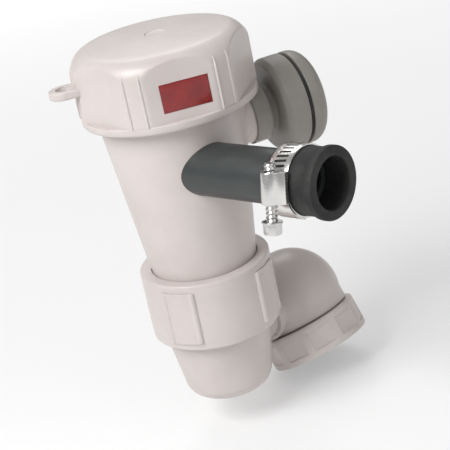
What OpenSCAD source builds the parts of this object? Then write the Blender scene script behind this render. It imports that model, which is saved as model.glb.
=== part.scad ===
// Upright electric water pump: a motor under a screw cap, a tapered body with a
// side outlet, a ring nut, a strainer bowl and an elbow with a tank union.
// Each piece is drawn about the pump's own axis and then moved so that the
// mouth of the tank union is the origin. Z is up along the pump's axis and X
// runs along the outlet.

/* [Cap] */
// Wall of the screw cap outside its thread
cap_wall = 5.1; // [4.9:0.1:9]
// Height of the screw cap
cap_h = 38; // [36:1:44]
// Number of flats round the cap
cap_flats = 6; // [5:1:7]
// Thickness of the cap's top
cap_top_t = 3.5; // [3:0.5:5]

/* [Body] */
// Diameter of the tapered body under the cap
body_top_d = 75; // [74:1:78]
// Height of the tapered body between the ring nut and the cap
body_h = 85; // [83:1:100]
// Wall of the body and of the bowl
wall = 3; // [2.6:0.2:3.4]

/* [Bowl and ring nut] */
// Diameter of the strainer bowl under the ring nut
bowl_d = 58; // [56:1:60]
// Height of the bowl under the ring nut
bowl_h = 39; // [38:1:48]
// Height of the ring nut
nut_h = 37; // [34:1:42]
// Wall of the ring nut outside its thread
nut_wall = 3.6; // [3:0.2:5]
// Number of grip lugs on the ring nut
nut_lugs = 4; // [3:1:6]

/* [Outlet] */
// Outside diameter of the outlet spigot
outlet_d = 27; // [26.6:0.2:28]
// Water bore of the outlet spigot
outlet_bore_d = 18; // [16:1:19]
// Distance of the spigot's shoulder from the pump's axis
outlet_reach = 78; // [70:1:90]
// Sideways offset of the outlet from the pump's axis
outlet_offset = 12; // [10:0.5:12.5]
// Inside diameter of the hose that the outlet takes
hose_d = 25; // [24:0.5:25.4]
// Length of the rubber cuff
cuff_l = 28; // [27:1:36]
// Wall of the rubber cuff
cuff_wall = 3.8; // [3:0.2:5]

/* [Clamp] */
// Width of the clamp's band
band_w = 12; // [11:0.5:12.5]
// Thickness of the clamp's band
band_t = 0.9; // [0.7:0.1:1.2]
// Length of the clamp's screw housing along its screw
house_l = 15; // [12:1:18]
// Turn of the clamp's housing above the side of the outlet
clamp_turn = 12; // [0:1:20]

/* [Suction elbow and union] */
// Outside diameter of the elbow's round bend
elbow_d = 54; // [52:1:56]
// Distance of the elbow's bend from the pump's axis
elbow_reach = 62; // [61:1:70]
// Diameter of the inlet stub on the bowl
stub_d = 24; // [22:1:26]
// Outside diameter of the union nut
union_d = 58; // [56:1:62]
// Height of the union nut
union_h = 18; // [17:1:24]
// Inside diameter of the union nut's thread
union_thread_d = 45; // [44:0.5:46]
// Number of grip panels on the union nut
union_panels = 10; // [8:1:12]
// Swing of the union from straight down towards the outlet
union_swing = 25; // [0:1:30]

/* [Terminal box] */
// Diameter of the terminal box
term_d = 50; // [46:1:52]
// Gap between the cap and the terminal box
term_gap = 7; // [5:0.5:15]
// Turn of the terminal box from the outlet about the pump's axis
term_turn = 65; // [60:1:75]
// Diameter of the cable gland's bore
gland_bore_d = 6; // [5:0.5:7]

/* [Motor and impeller] */
// Gap between the motor's steel can and the body's wall
motor_gap = 5.8; // [5.6:0.1:7]
// Diameter of the motor's shaft
shaft_d = 6; // [5:0.5:7]
// Number of impeller blades
blades = 6; // [5:1:7]
// Number of armature slots
slots = 7; // [5:1:9]

/* [Hidden] */

$fn = 96;

// Colours
plastic = [0.84, 0.81, 0.79];
dark_plastic = [0.36, 0.35, 0.33];
black = [0.13, 0.14, 0.14];
rubber = [0.08, 0.08, 0.08];
steel = [0.74, 0.74, 0.75];
dark_steel = [0.45, 0.45, 0.47];
copper = [0.72, 0.42, 0.25];
brass = [0.78, 0.63, 0.30];
red = [0.42, 0.07, 0.07];

// Clearances: still fits, running fits, turning plastic threads, and the overrun of cuts
still_gap = 0.1;
run_gap = 0.05;
turn_gap = 0.4;
over = 1;

// Levels along the pump's axis, from the underside of the bowl
z_nut = bowl_h;
z_neck = z_nut + nut_h;
z_cap = z_neck + body_h;
z_top = z_cap + cap_h;

// Bowl, its thread and the ring nut
bowl_r = bowl_d / 2;
bowl_draft = 5;
bowl_round = 9;
bowl_foot_r = bowl_r - bowl_draft - bowl_round;
thread_step = 1.5;
thread_r = bowl_r + thread_step;
thread_depth = 0.7;
thread_pitch = 4;
thread_runout = 5;
nut_in_r = thread_r + turn_gap;
nut_r = nut_in_r + nut_wall;
nut_edge = 1.2;
lip_h = 6;
rib_r = 2;
rib_spread = 26;
rib_inset = 4;
pad_t = 0.8;

// Lower end of the body: neck, snap ring and foot
neck_step = 1;
neck_r = bowl_r - neck_step;
snap_h = 2.4;
snap_depth = 1.4;
snap_split = 5;
foot_h = 3;
z_snap = z_neck - lip_h - still_gap - snap_h;
z_face = z_snap - foot_h;
gasket_h = 2.5;
z_bowl_top = z_face - gasket_h;

// Strainer
strainer_step = 5;
strainer_t = 1.5;
ledge_h = 3;
ledge_w = 2;
strainer_flange_h = 2;
strainer_foot = 5;
strainer_rows = 3;
strainer_slots = 12;
slot_w = 4;
slot_gap = 3;

// Body above the ring nut
top_r = body_top_d / 2;
collar_h = 19;
collar_step = 2;
collar_r = top_r + collar_step;
z_collar = z_cap + collar_h;
web_drop = 43;
web_t = 3;
z_web = z_cap - web_drop;
z_room = z_web + web_t;

// Volute casing, impeller and bulkhead
room_gap = 1.2;
casing_t = 3;
casing_h = 25;
bulk_h = 4;
casing_flange_h = 3;
z_floor = z_room + casing_t;
z_bulk = z_room + casing_h;
z_motor = z_bulk + bulk_h;
eye_r = 11;
eye_t = 2.4;
eye_drop = 6;
outlet_drop = 1;
outlet_z = (z_floor + z_bulk) / 2 - outlet_drop;
boss_t = 1.6;
boss_gap = 0.5;
nose_step = 2.6;
seat_depth = 1;
seat_t = 0.8;
impeller_gap = 2.5;
impeller_floor_gap = 2;
disc_t = 2;
hub_r = 7;
blade_t = 2;
blade_inset = 0.6;
blade_bow_share = 0.62;
seal_r = 9;
seal_h = 3;
bulk_gap = 0.4;
bulk_screw_r = 1.1;
bulk_head_r = 1.9;
bulk_head_h = 1.6;
bulk_screw_l = 6.5;
bulk_screws = 4;

// Motor
motor_r = body_r(z_motor) - wall - motor_gap;
can_t = 1.5;
motor_head_gap = 6;
bell_h = 3;
z_bell = z_top - cap_top_t - motor_head_gap;
magnet_t = 3.4;
air_gap = 0.8;
magnet_span = 130;
shaft_r = shaft_d / 2;
bearing_r = 8;
bearing_h = 5;
bearing_lip = 0.5;
coil_h = 3.4;
coil_gap = 1;
comm_r = 8;
comm_h = 6;
holder_t = 2;
holder_gap = 0.6;
brush_l = 6;
brush_w = 4;
brush_h = 3.4;
arm_slot_w = 2.4;
arm_slot_depth_share = 0.5;
motor_screw_r = 1.5;
motor_screw_l = 6;
motor_head_r = 2.8;
motor_head_h = 1.4;
motor_screw_gap = 1.7;
motor_screw_at = bearing_r + can_t + motor_head_r + motor_screw_gap;
nut_thick = 4;
shaft_nut_r = 5;

// Cap
cap_skirt_r = collar_r + turn_gap;
cap_r = cap_skirt_r + cap_wall;
cap_round = 10;
cap_dome = 1.6;
cap_round_turn = 78;
cap_flat_depth = 3.4;
cap_base_ring = 4;
cap_rib_r = 1.7;
cap_rib_half = 4;
flat_turn = -35;
cap_seal_r = 1.2;
seal_slack = 0.15;
z_shoulder = z_collar + cap_seal_r * 2 + seal_slack * 2;
cap_inner_step = 5;
window_w = 24;
window_h = 14;
window_t = 1.6;
window_side = 2;
window_rise = 5;
eye_out_r = 8;
eye_hole_r = 4.5;
eye_plate_t = 4;
eye_turn = 235;
eye_rise = 18;
eye_reach = cap_r + eye_hole_r + turn_gap;

// Outlet spigot, cuff and clamp
outlet_r = outlet_d / 2;
outlet_bore_r = outlet_bore_d / 2;
hose_r = hose_d / 2;
tail_stretch = 0.4;
tail_r = hose_r + tail_stretch;
barb_depth = 0.7;
barb_count = 3;
tail_end = 14;
cuff_r = hose_r + cuff_wall;
cuff_lip = 1.2;
cuff_lip_l = 3;
shoulder_gap = 0.3;
band_at = 2;
band_in_r = cuff_r + still_gap;
band_out_r = band_in_r + band_t;
band_slot_w = 1.3;
band_slot_turn = 9;
band_slot_share = 0.55;
tail_turn = 50;
tail_from = asin((house_l / 2 + turn_gap) / band_out_r);
house_top = 4.6;
house_side = 1.4;
worm_r = 3;
worm_depth = 0.6;
worm_pitch = 2;
worm_rise = 3.6;
screw_head_r = 4.4;
screw_head_h = 5;
screw_flange_r = 4.9;
screw_flange_t = 1.2;
screw_slot_w = 1.2;
screw_slot_depth = 1.8;
screw_tail = 4;
screw_neck = 8;

// Elbow and union
elbow_r = elbow_d / 2;
elbow_wall = 3.6;
stub_r = stub_d / 2;
stub_wall = 3;
socket_wall = 2.4;
elbow_z = bowl_h - stub_r - socket_wall - turn_gap * 4;
socket_l = 9;
stub_depth = 7;
union_thread_r = union_thread_d / 2;
leg_r = union_thread_r - 2.4;
leg_bore_r = leg_r - elbow_wall;
union_r = union_d / 2;
cheek_l = stub_r + socket_wall + turn_gap;
cheek_step = 1;
union_lip_h = 3;
union_relief = 0.8;
flange_t = 3;
union_gasket_t = 2.5;
panel_depth = 1.2;
panel_edge = 3.5;
panel_rib = 4.4;
union_chamfer = 1;
t_nut = cheek_l + turn_gap;
t_flange = t_nut + union_lip_h + turn_gap;
t_seat = t_flange + flange_t;
t_thread = t_seat + union_gasket_t + turn_gap;
t_mouth = t_nut + union_h;

// Terminal box, pointing away from the pump's axis
term_r = term_d / 2;
term_wall = 2.8;
term_cover_l = 11.5;
term_box_l = 12.5;
term_round = 7;
term_drop = 17;
term_z = z_cap - term_drop;
neck_out_r = 12;
neck_bore_r = 7;
neck_boss_r = 15;
neck_boss_step = 1;
neck_boss_reach = cap_r + neck_boss_step;
term_start = cap_r + term_gap;
term_reach = term_start + term_box_l + term_cover_l;
cover_lap = 4;
term_seal_r = 0.9;
block_l = 16;
block_w = 9;
block_h = 6;
block_screw_r = 2;
block_pitch = 7;
gland_r = 6.8;
gland_hex_r = 8;
gland_hex_l = 4;
gland_thread_l = 8;
gland_nut_r = 8.4;
gland_nut_l = 12;
gland_tube_r = 5.6;
bush_t = 1.2;

// Corner of a revolved profile as points on an arc
arc_steps = 7;
function arc(c, r, from, to) =
    [for (i = [0:arc_steps]) c + r * [cos(from + (to - from) * i / arc_steps),
                                      sin(from + (to - from) * i / arc_steps)]];

// Outside radius of the tapered body at a level
function body_r(z) = neck_r + (top_r - neck_r) * (z - z_neck) / body_h;

casing_r = body_r(z_room) - wall - room_gap;
chamber_r = casing_r - casing_t;
impeller_r = chamber_r - impeller_gap;
bulk_r = body_r(z_bulk - casing_flange_h) - wall - bulk_gap;
z_disc = z_bulk - impeller_floor_gap * 2;
z_blade = z_floor + impeller_floor_gap;

// Frames: the pump in the part's frame, then the outlet, the union and the
// terminal box in the pump's frame, each with its own axis along Z
ball = [0, elbow_reach, elbow_z];
mouth = ball + t_mouth * [sin(union_swing), 0, -cos(union_swing)];

module at_pump() {
    translate(-mouth) children();
}

module on_outlet() {
    translate([0, -outlet_offset, outlet_z]) rotate([0, 90, 0]) children();
}

module on_union() {
    translate(ball) rotate([0, 180 - union_swing, 0]) children();
}

module on_terminal() {
    translate([0, 0, term_z]) rotate([0, 0, term_turn]) rotate([0, 90, 0]) children();
}

module on_gland() {
    on_terminal() translate([0, 0, term_start + term_box_l / 2]) rotate([-90, 0, 0]) children();
}

// Shapes used by many pieces
module tube(outer, inner, h) {
    difference() {
        cylinder(r = outer, h = h);
        translate([0, 0, -over]) cylinder(r = inner, h = h + 2 * over);
    }
}

module o_ring(radius, thick) {
    rotate_extrude() translate([radius, 0]) circle(r = thick, $fn = 32);
}

// A threaded surface drawn as shallow round ridges
module ridges(radius, depth, pitch, h) {
    rotate_extrude() polygon(concat([[0, 0]],
        [for (z = [0:pitch:h - pitch]) each [[radius - depth, z], [radius, z + pitch / 2]]],
        [[radius - depth, h], [0, h]]));
}

// Screw cap with arched flats, a rib at each corner, a window pocket and an eye
module cap_outline() {
    rotate_extrude() polygon(concat(
        [[0, z_cap], [cap_r - nut_edge, z_cap], [cap_r, z_cap + nut_edge]],
        arc([cap_r - cap_round, z_top - cap_dome - cap_round], cap_round, 0, cap_round_turn),
        [[0, z_top]]));
}

module cap_flats_cut() {
    for (i = [0:cap_flats - 1]) {
        rotate([0, 0, flat_turn + i * 360 / cap_flats])
            translate([cap_r - cap_flat_depth, -cap_r, z_cap + cap_base_ring])
                cube([cap_r, 2 * cap_r, cap_h]);
    }
}

module cap_ribs() {
    intersection() {
        cap_outline();
        for (i = [0:cap_flats - 1], side = [-1, 1]) {
            rotate([0, 0, flat_turn + (i + 1 / 2) * 360 / cap_flats])
                translate([cap_r - cap_rib_r, side * cap_rib_half, z_cap])
                    cylinder(r = cap_rib_r, h = cap_h, $fn = 24);
        }
    }
}

module window_place() {
    rotate([0, 0, flat_turn])
        translate([cap_r - cap_flat_depth, window_side, z_cap + cap_base_ring + window_rise])
            children();
}

module eye() {
    rotate([0, 0, eye_turn]) translate([0, 0, z_cap + eye_rise]) difference() {
        union() {
            translate([eye_reach, 0, 0]) cylinder(r = eye_out_r, h = eye_plate_t);
            translate([cap_skirt_r, -eye_out_r, 0])
                cube([eye_reach - cap_skirt_r, 2 * eye_out_r, eye_plate_t]);
        }
        translate([eye_reach, 0, -over]) cylinder(r = eye_hole_r, h = eye_plate_t + 2 * over);
    }
}

module cap_room() {
    translate([0, 0, z_cap - over]) cylinder(r = cap_skirt_r, h = z_shoulder - z_cap + over);
    cylinder(r = cap_skirt_r - cap_inner_step, h = z_top - cap_top_t);
}

module motor_cap() {
    color(plastic) at_pump() difference() {
        union() {
            difference() {
                cap_outline();
                cap_flats_cut();
            }
            cap_ribs();
            eye();
        }
        cap_room();
        window_place()
            translate([-window_t, -window_w / 2 - still_gap, -still_gap])
                cube([window_t + over, window_w + 2 * still_gap, window_h + 2 * still_gap]);
    }
}

module cap_window() {
    color(red) at_pump() window_place()
        translate([still_gap - window_t, -window_w / 2, 0])
            cube([window_t, window_w, window_h]);
}

module cap_seal() {
    color(rubber) at_pump()
        translate([0, 0, z_collar + cap_seal_r + seal_slack])
            o_ring(collar_r - wall, cap_seal_r);
}

// Tapered body: a shell with a threaded collar, a web under the dry room, and
// round ways for the outlet and for the terminal box
module body_shell() {
    rotate_extrude() polygon([
        [0, z_face],
        [neck_r, z_face],
        [neck_r, z_neck],
        [top_r, z_cap],
        [top_r, z_cap + thread_step],
        [collar_r - thread_depth, z_cap + thread_step + collar_step],
        [collar_r - thread_depth, z_collar],
        [0, z_collar]
    ]);
    translate([0, 0, z_cap + thread_step + collar_step])
        ridges(collar_r, thread_depth, thread_pitch, collar_h - thread_step - collar_step);
    on_terminal() cylinder(r = neck_boss_r, h = neck_boss_reach);
}

module body_room() {
    rotate_extrude() polygon([
        [0, z_face - over],
        [neck_r - wall, z_face - over],
        [neck_r - wall, z_neck],
        [body_r(z_web) - wall, z_web],
        [0, z_web]
    ]);
    rotate_extrude() polygon([
        [0, z_room],
        [body_r(z_room) - wall, z_room],
        [top_r - wall, z_cap],
        [top_r - wall, z_collar + over],
        [0, z_collar + over]
    ]);
    translate([0, 0, z_web - over]) cylinder(r = eye_r + eye_t + still_gap, h = web_t + 2 * over);
}

module pump_body() {
    color(plastic) at_pump() difference() {
        body_shell();
        body_room();
        translate([0, 0, z_snap - still_gap])
            tube(neck_r + over, neck_r - snap_depth, snap_h + 2 * still_gap);
        on_outlet() cylinder(r = outlet_r + still_gap, h = outlet_reach);
        on_terminal() cylinder(r = neck_out_r + still_gap, h = outlet_reach);
    }
}

// Casing round the impeller: floor with the eye tube, wall, top flange, and a
// saddle seat on its side that takes the end of the outlet spigot
seat_r = casing_r - seat_depth;
nose_r = outlet_r - nose_step;

module casing_boss() {
    intersection() {
        on_outlet() cylinder(r = nose_r + boss_t, h = outlet_reach);
        translate([0, 0, z_room]) cylinder(r = body_r(z_room) - wall - boss_gap, h = casing_h);
    }
}

module volute_casing() {
    color(plastic) at_pump() difference() {
        union() {
            translate([0, 0, z_room]) cylinder(r = casing_r, h = casing_h);
            translate([0, 0, z_bulk - casing_flange_h]) cylinder(r = bulk_r, h = casing_flange_h);
            translate([0, 0, z_room - eye_drop]) cylinder(r = eye_r + eye_t, h = eye_drop + over);
            casing_boss();
        }
        translate([0, 0, z_floor]) cylinder(r = chamber_r, h = casing_h);
        translate([0, 0, z_room - eye_drop - over]) cylinder(r = eye_r, h = casing_h);
        translate([0, 0, z_web + web_t / 2]) o_ring(eye_r + eye_t + still_gap, eye_t / 3);
        on_outlet() cylinder(r = outlet_bore_r, h = outlet_reach);
        difference() {
            on_outlet() cylinder(r = nose_r + still_gap, h = outlet_reach);
            cylinder(r = seat_r, h = z_top);
        }
        bulk_screw_ways(bulk_screw_r);
    }
}

module casing_o_ring() {
    color(rubber) at_pump() translate([0, 0, z_web + web_t / 2])
        intersection() {
            o_ring(eye_r + eye_t + still_gap, eye_t / 3);
            translate([0, 0, -web_t]) cylinder(r = eye_r + eye_t + still_gap, h = 2 * web_t);
        }
}

module bulk_screw_ways(radius) {
    for (i = [0:bulk_screws - 1]) {
        rotate([0, 0, (i + 1 / 2) * 360 / bulk_screws])
            translate([(motor_r + bulk_r) / 2, 0, z_motor - bulk_screw_l])
                cylinder(r = radius, h = bulk_screw_l + over, $fn = 24);
    }
}

module bulkhead() {
    color(plastic) at_pump() difference() {
        translate([0, 0, z_bulk]) cylinder(r = bulk_r, h = bulk_h);
        translate([0, 0, z_bulk - over]) cylinder(r = shaft_r + turn_gap, h = bulk_h + 2 * over);
        translate([0, 0, z_motor - seal_h]) cylinder(r = seal_r, h = seal_h + over);
        bulk_screw_ways(bulk_screw_r + still_gap);
        motor_screw_ways(motor_screw_r + still_gap, motor_head_r + still_gap);
    }
}

module bulkhead_screws() {
    color(steel) at_pump() for (i = [0:bulk_screws - 1]) {
        rotate([0, 0, (i + 1 / 2) * 360 / bulk_screws])
            translate([(motor_r + bulk_r) / 2, 0, z_motor]) {
                translate([0, 0, -bulk_screw_l + over])
                    cylinder(r = bulk_screw_r - run_gap, h = bulk_screw_l - over, $fn = 24);
                difference() {
                    cylinder(r = bulk_head_r, h = bulk_head_h, $fn = 24);
                    translate([0, 0, bulk_head_h / 2])
                        cylinder(r = bulk_screw_r / 2, h = bulk_head_h, $fn = 6);
                }
            }
    }
}

module shaft_seal() {
    color(rubber) at_pump() translate([0, 0, z_motor - seal_h])
        tube(seal_r - still_gap, shaft_r + run_gap, seal_h);
}

// Motor can with a bearing pocket, and two holes for the screws in its floor
module motor_screw_ways(shank, head) {
    for (side = [-1, 1]) {
        translate([side * motor_screw_at, 0, z_bulk + motor_head_h])
            cylinder(r = shank, h = motor_screw_l + over, $fn = 32);
        translate([side * motor_screw_at, 0, z_bulk - over])
            cylinder(r = head, h = over + motor_head_h, $fn = 32);
    }
}

module motor_can() {
    color(dark_steel) at_pump() difference() {
        translate([0, 0, z_motor]) cylinder(r = motor_r, h = z_bell - z_motor);
        translate([0, 0, z_motor + bearing_h])
            cylinder(r = motor_r - can_t, h = z_bell);
        translate([0, 0, z_motor - over]) cylinder(r = bearing_r + run_gap, h = bearing_h + 2 * over);
        difference() {
            translate([0, 0, z_motor + can_t]) cylinder(r = motor_r - can_t, h = bearing_h);
            cylinder(r = bearing_r + can_t, h = z_top);
            for (side = [-1, 1]) {
                translate([side * motor_screw_at, 0, 0])
                    cylinder(r = motor_head_r, h = z_top, $fn = 32);
            }
        }
        motor_screw_ways(motor_screw_r + still_gap, motor_screw_r);
    }
}

module motor_screws() {
    color(steel) at_pump() for (side = [-1, 1]) {
        translate([side * motor_screw_at, 0, z_bulk]) {
            difference() {
                cylinder(r = motor_head_r, h = motor_head_h, $fn = 32);
                translate([0, 0, -over])
                    cylinder(r = motor_screw_r, h = over + motor_head_h / 2, $fn = 6);
            }
            cylinder(r = motor_screw_r, h = motor_screw_l, $fn = 32);
        }
    }
}

module motor_end_bell() {
    color(dark_steel) at_pump() translate([0, 0, z_bell]) difference() {
        union() {
            cylinder(r = motor_r, h = bell_h);
            cylinder(r = bearing_r + can_t, h = bearing_h);
        }
        translate([0, 0, -over]) cylinder(r = bearing_r + run_gap, h = bearing_h + over - bearing_lip);
        cylinder(r = shaft_r + turn_gap, h = z_top);
        for (i = [0:3]) {
            rotate([0, 0, 45 + i * 90]) translate([motor_r - bearing_r, 0, -over])
                cylinder(r = comm_r / 2, h = bell_h + 2 * over, $fn = 32);
        }
    }
}

z_stack = z_motor + bearing_h + coil_gap + coil_h;
stack_top = z_bell - comm_h - coil_gap - coil_h;
arm_r = motor_r - can_t - magnet_t - air_gap;

module field_magnets() {
    color(dark_steel) at_pump() for (turn = [0, 180]) {
        rotate([0, 0, turn - magnet_span / 2]) translate([0, 0, z_stack])
            rotate_extrude(angle = magnet_span)
                translate([motor_r - can_t - magnet_t, 0])
                    square([magnet_t - still_gap, stack_top - z_stack]);
    }
}

module armature() {
    color(dark_steel) at_pump() translate([0, 0, z_stack]) difference() {
        tube(arm_r, shaft_r, stack_top - z_stack);
        for (i = [0:slots - 1]) {
            rotate([0, 0, i * 360 / slots])
                translate([arm_r * (1 - arm_slot_depth_share), -arm_slot_w / 2, -over])
                    cube([arm_r, arm_slot_w, stack_top - z_stack + 2 * over]);
        }
    }
}

module coil_heads() {
    color(copper) at_pump() for (z = [z_stack - coil_h, stack_top]) {
        translate([0, 0, z]) tube(arm_r - arm_slot_w, shaft_r, coil_h);
    }
}

module commutator() {
    color(copper) at_pump() translate([0, 0, stack_top + coil_h]) difference() {
        tube(comm_r, shaft_r, comm_h);
        for (i = [0:slots - 1]) {
            rotate([0, 0, i * 360 / slots])
                translate([comm_r - bearing_lip, -bearing_lip / 2, -over])
                    cube([comm_r, bearing_lip, comm_h + 2 * over]);
        }
    }
}

holder_z = z_bell - holder_t - holder_gap;

module brush_holder() {
    color(brass) at_pump() difference() {
        translate([0, 0, holder_z])
            tube(motor_r - can_t - still_gap, comm_r + turn_gap * 2, holder_t + holder_gap);
        brush_blocks(still_gap);
    }
}

module brush_blocks(grow) {
    for (turn = [0, 180]) {
        rotate([0, 0, turn])
            translate([comm_r + run_gap - grow, -brush_w / 2 - grow, z_bell - brush_h - grow])
                cube([brush_l + 2 * grow, brush_w + 2 * grow, brush_h + 2 * grow]);
    }
}

module carbon_brushes() {
    color(rubber) at_pump() brush_blocks(0);
}

module motor_shaft() {
    color(steel) at_pump()
        translate([0, 0, z_blade - nut_thick + still_gap])
            cylinder(r = shaft_r, h = z_bell + bearing_h - z_blade + nut_thick - bearing_lip);
}

module upper_bearing() {
    color(steel) at_pump() translate([0, 0, z_bell])
        tube(bearing_r, shaft_r + run_gap, bearing_h - bearing_lip - still_gap);
}

module lower_bearing() {
    color(steel) at_pump() translate([0, 0, z_motor])
        tube(bearing_r, shaft_r + run_gap, bearing_h);
}

// Impeller: a disc with a hub and backward curved blades under it
module blade_outline() {
    bow = impeller_r * blade_bow_share;
    intersection() {
        circle(r = impeller_r - blade_inset);
        translate([0, bow]) difference() {
            circle(r = bow + blade_t / 2);
            circle(r = bow - blade_t / 2);
            translate([-2 * bow, -2 * bow]) square([2 * bow, 4 * bow]);
        }
    }
}

module impeller() {
    color(black) at_pump() difference() {
        union() {
            translate([0, 0, z_disc]) cylinder(r = impeller_r, h = disc_t);
            translate([0, 0, z_blade]) cylinder(r = hub_r, h = z_disc + disc_t - z_blade);
            translate([0, 0, z_blade]) for (i = [0:blades - 1]) {
                rotate([0, 0, i * 360 / blades])
                    linear_extrude(height = z_disc - z_blade + disc_t / 2) blade_outline();
            }
        }
        cylinder(r = shaft_r, h = z_top);
    }
}

module impeller_nut() {
    color(brass) at_pump() translate([0, 0, z_blade - nut_thick]) difference() {
        cylinder(r = shaft_nut_r, h = nut_thick, $fn = 6);
        translate([0, 0, still_gap]) cylinder(r = shaft_r, h = nut_thick);
    }
}

// Outlet spigot with a saddle end on the casing, a plain shank, a shoulder and a
// ribbed tail inside the cuff
tail_l = tail_end - still_gap;

module outlet_spigot() {
    color(black) at_pump() difference() {
        union() {
            on_outlet() cylinder(r = nose_r, h = outlet_reach);
            difference() {
                on_outlet() cylinder(r = outlet_r, h = outlet_reach);
                cylinder(r = bulk_r + still_gap, h = z_top);
            }
            on_outlet() translate([0, 0, outlet_reach - over])
                cylinder(r = tail_r - barb_depth, h = tail_l + over);
            for (i = [0:barb_count - 1]) {
                on_outlet() translate([0, 0, outlet_reach + i * tail_l / barb_count])
                    cylinder(r1 = tail_r, r2 = tail_r - barb_depth, h = tail_l / barb_count);
            }
        }
        cylinder(r = seat_r + seat_t, h = z_top);
        on_outlet() cylinder(r = outlet_bore_r, h = 2 * outlet_reach);
    }
}

module spigot_gasket() {
    color(rubber) at_pump() intersection() {
        on_outlet() tube(nose_r, outlet_bore_r, outlet_reach);
        tube(seat_r + seat_t, seat_r, z_top);
    }
}

module hose_cuff() {
    color(rubber) at_pump() on_outlet() translate([0, 0, outlet_reach + shoulder_gap])
        difference() {
            rotate_extrude() polygon([
                [0, 0],
                [cuff_r - cuff_lip / 2, 0],
                [cuff_r, cuff_lip / 2],
                [cuff_r, cuff_l - 2 * cuff_lip_l],
                [cuff_r + cuff_lip, cuff_l - cuff_lip_l],
                [cuff_r + cuff_lip, cuff_l - cuff_lip],
                [cuff_r, cuff_l],
                [0, cuff_l]
            ]);
            translate([0, 0, -over]) cylinder(r = tail_r + still_gap, h = tail_end + over);
            cylinder(r = hose_r, h = cuff_l + over);
        }
}

// Worm clamp: a slotted band with its loose end, a pressed housing and a screw
module on_clamp() {
    on_outlet() translate([0, 0, outlet_reach + shoulder_gap + band_at])
        rotate([0, 0, 180 + 90 - clamp_turn]) children();
}

module clamp_band() {
    color(steel) at_pump() on_clamp() {
        difference() {
            tube(band_out_r, band_in_r, band_w);
            for (turn = [tail_from + tail_turn + band_slot_turn:band_slot_turn:360 - tail_from]) {
                rotate([0, 0, turn])
                    translate([band_in_r - over, -band_slot_w / 2, band_w * (1 - band_slot_share) / 2])
                        cube([band_t + 2 * over, band_slot_w, band_w * band_slot_share]);
            }
        }
        rotate([0, 0, tail_from])
            rotate_extrude(angle = tail_turn)
                translate([band_out_r, 0])
                    square([band_t, band_w]);
    }
}

screw_at = band_out_r + worm_rise;

module clamp_housing() {
    color(steel) at_pump() on_clamp() difference() {
        union() {
            translate([0, -house_l / 2, -house_side])
                cube([screw_at, house_l, band_w + 2 * house_side]);
            translate([screw_at, 0, band_w / 2]) rotate([90, 0, 0])
                cylinder(r = house_top, h = house_l, center = true);
        }
        translate([0, 0, -house_l]) cylinder(r = band_out_r + still_gap, h = 3 * house_l);
        translate([screw_at, 0, band_w / 2]) rotate([90, 0, 0])
            cylinder(r = worm_r + run_gap, h = 2 * house_l, center = true);
    }
}

module clamp_screw() {
    shank_l = house_l + screw_tail + screw_neck;
    color(steel) at_pump() on_clamp()
        translate([screw_at, -house_l / 2 - screw_tail, band_w / 2]) rotate([-90, 0, 0]) {
            ridges(worm_r, worm_depth, worm_pitch, shank_l);
            translate([0, 0, shank_l]) cylinder(r = screw_flange_r, h = screw_flange_t);
            translate([0, 0, shank_l + screw_flange_t]) difference() {
                cylinder(r = screw_head_r, h = screw_head_h, $fn = 6);
                translate([-screw_head_r, -screw_slot_w / 2, screw_head_h - screw_slot_depth])
                    cube([2 * screw_head_r, screw_slot_w, screw_head_h]);
            }
        }
}

// Ring nut: a tapered ring with a top lip and pairs of grip ribs
module nut_grips() {
    for (i = [0:nut_lugs - 1]) {
        rotate([0, 0, i * 360 / nut_lugs - 75]) {
            for (side = [-1, 1]) {
                rotate([0, 0, side * rib_spread / 2])
                    translate([nut_r - rib_r / 2, 0, z_nut + rib_inset])
                        cylinder(r = rib_r, h = nut_h - 2 * rib_inset, $fn = 32);
            }
            rotate([0, 0, -rib_spread / 2]) translate([0, 0, z_nut + rib_inset])
                rotate_extrude(angle = rib_spread)
                    translate([nut_r - over, 0]) square([over + pad_t, nut_h - 2 * rib_inset]);
        }
    }
}

module ring_nut() {
    color(plastic) at_pump() difference() {
        union() {
            rotate_extrude() polygon([
                [0, z_nut],
                [nut_r - nut_edge, z_nut],
                [nut_r, z_nut + nut_edge],
                [nut_r, z_neck - nut_edge],
                [nut_r - nut_edge, z_neck],
                [0, z_neck]
            ]);
            nut_grips();
        }
        translate([0, 0, z_nut - over]) cylinder(r = nut_in_r, h = nut_h - lip_h + over);
        cylinder(r = neck_r + turn_gap, h = z_top);
    }
}

module nut_snap_ring() {
    color(steel) at_pump() translate([0, 0, z_snap]) difference() {
        tube(nut_in_r - turn_gap, neck_r - snap_depth + still_gap, snap_h);
        translate([0, -snap_split / 2, -over]) cube([nut_r, snap_split, snap_h + 2 * over]);
    }
}

module bowl_gasket() {
    color(rubber) at_pump() translate([0, 0, z_bowl_top])
        tube(neck_r - still_gap, neck_r - wall, gasket_h);
}

// Strainer basket hanging by its flange in the top of the bowl
strainer_r = neck_r - wall - strainer_step;

module strainer() {
    row_h = (z_bowl_top - ledge_h - wall - strainer_foot) / strainer_rows;
    color(dark_plastic) at_pump() difference() {
        union() {
            translate([0, 0, wall + strainer_foot])
                cylinder(r = strainer_r, h = z_bowl_top - ledge_h - wall - strainer_foot);
            translate([0, 0, z_bowl_top - ledge_h])
                cylinder(r = neck_r - wall + ledge_w - still_gap, h = strainer_flange_h);
        }
        translate([0, 0, wall + strainer_foot + strainer_t])
            cylinder(r = strainer_r - strainer_t, h = z_top);
        for (row = [0:strainer_rows - 1], i = [0:strainer_slots - 1]) {
            rotate([0, 0, (i + row / 2) * 360 / strainer_slots])
                translate([strainer_t, -slot_w / 2, wall + strainer_foot + slot_gap + row * row_h])
                    cube([strainer_r, slot_w, row_h - 2 * slot_gap / 2 - strainer_t]);
        }
    }
}

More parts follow.
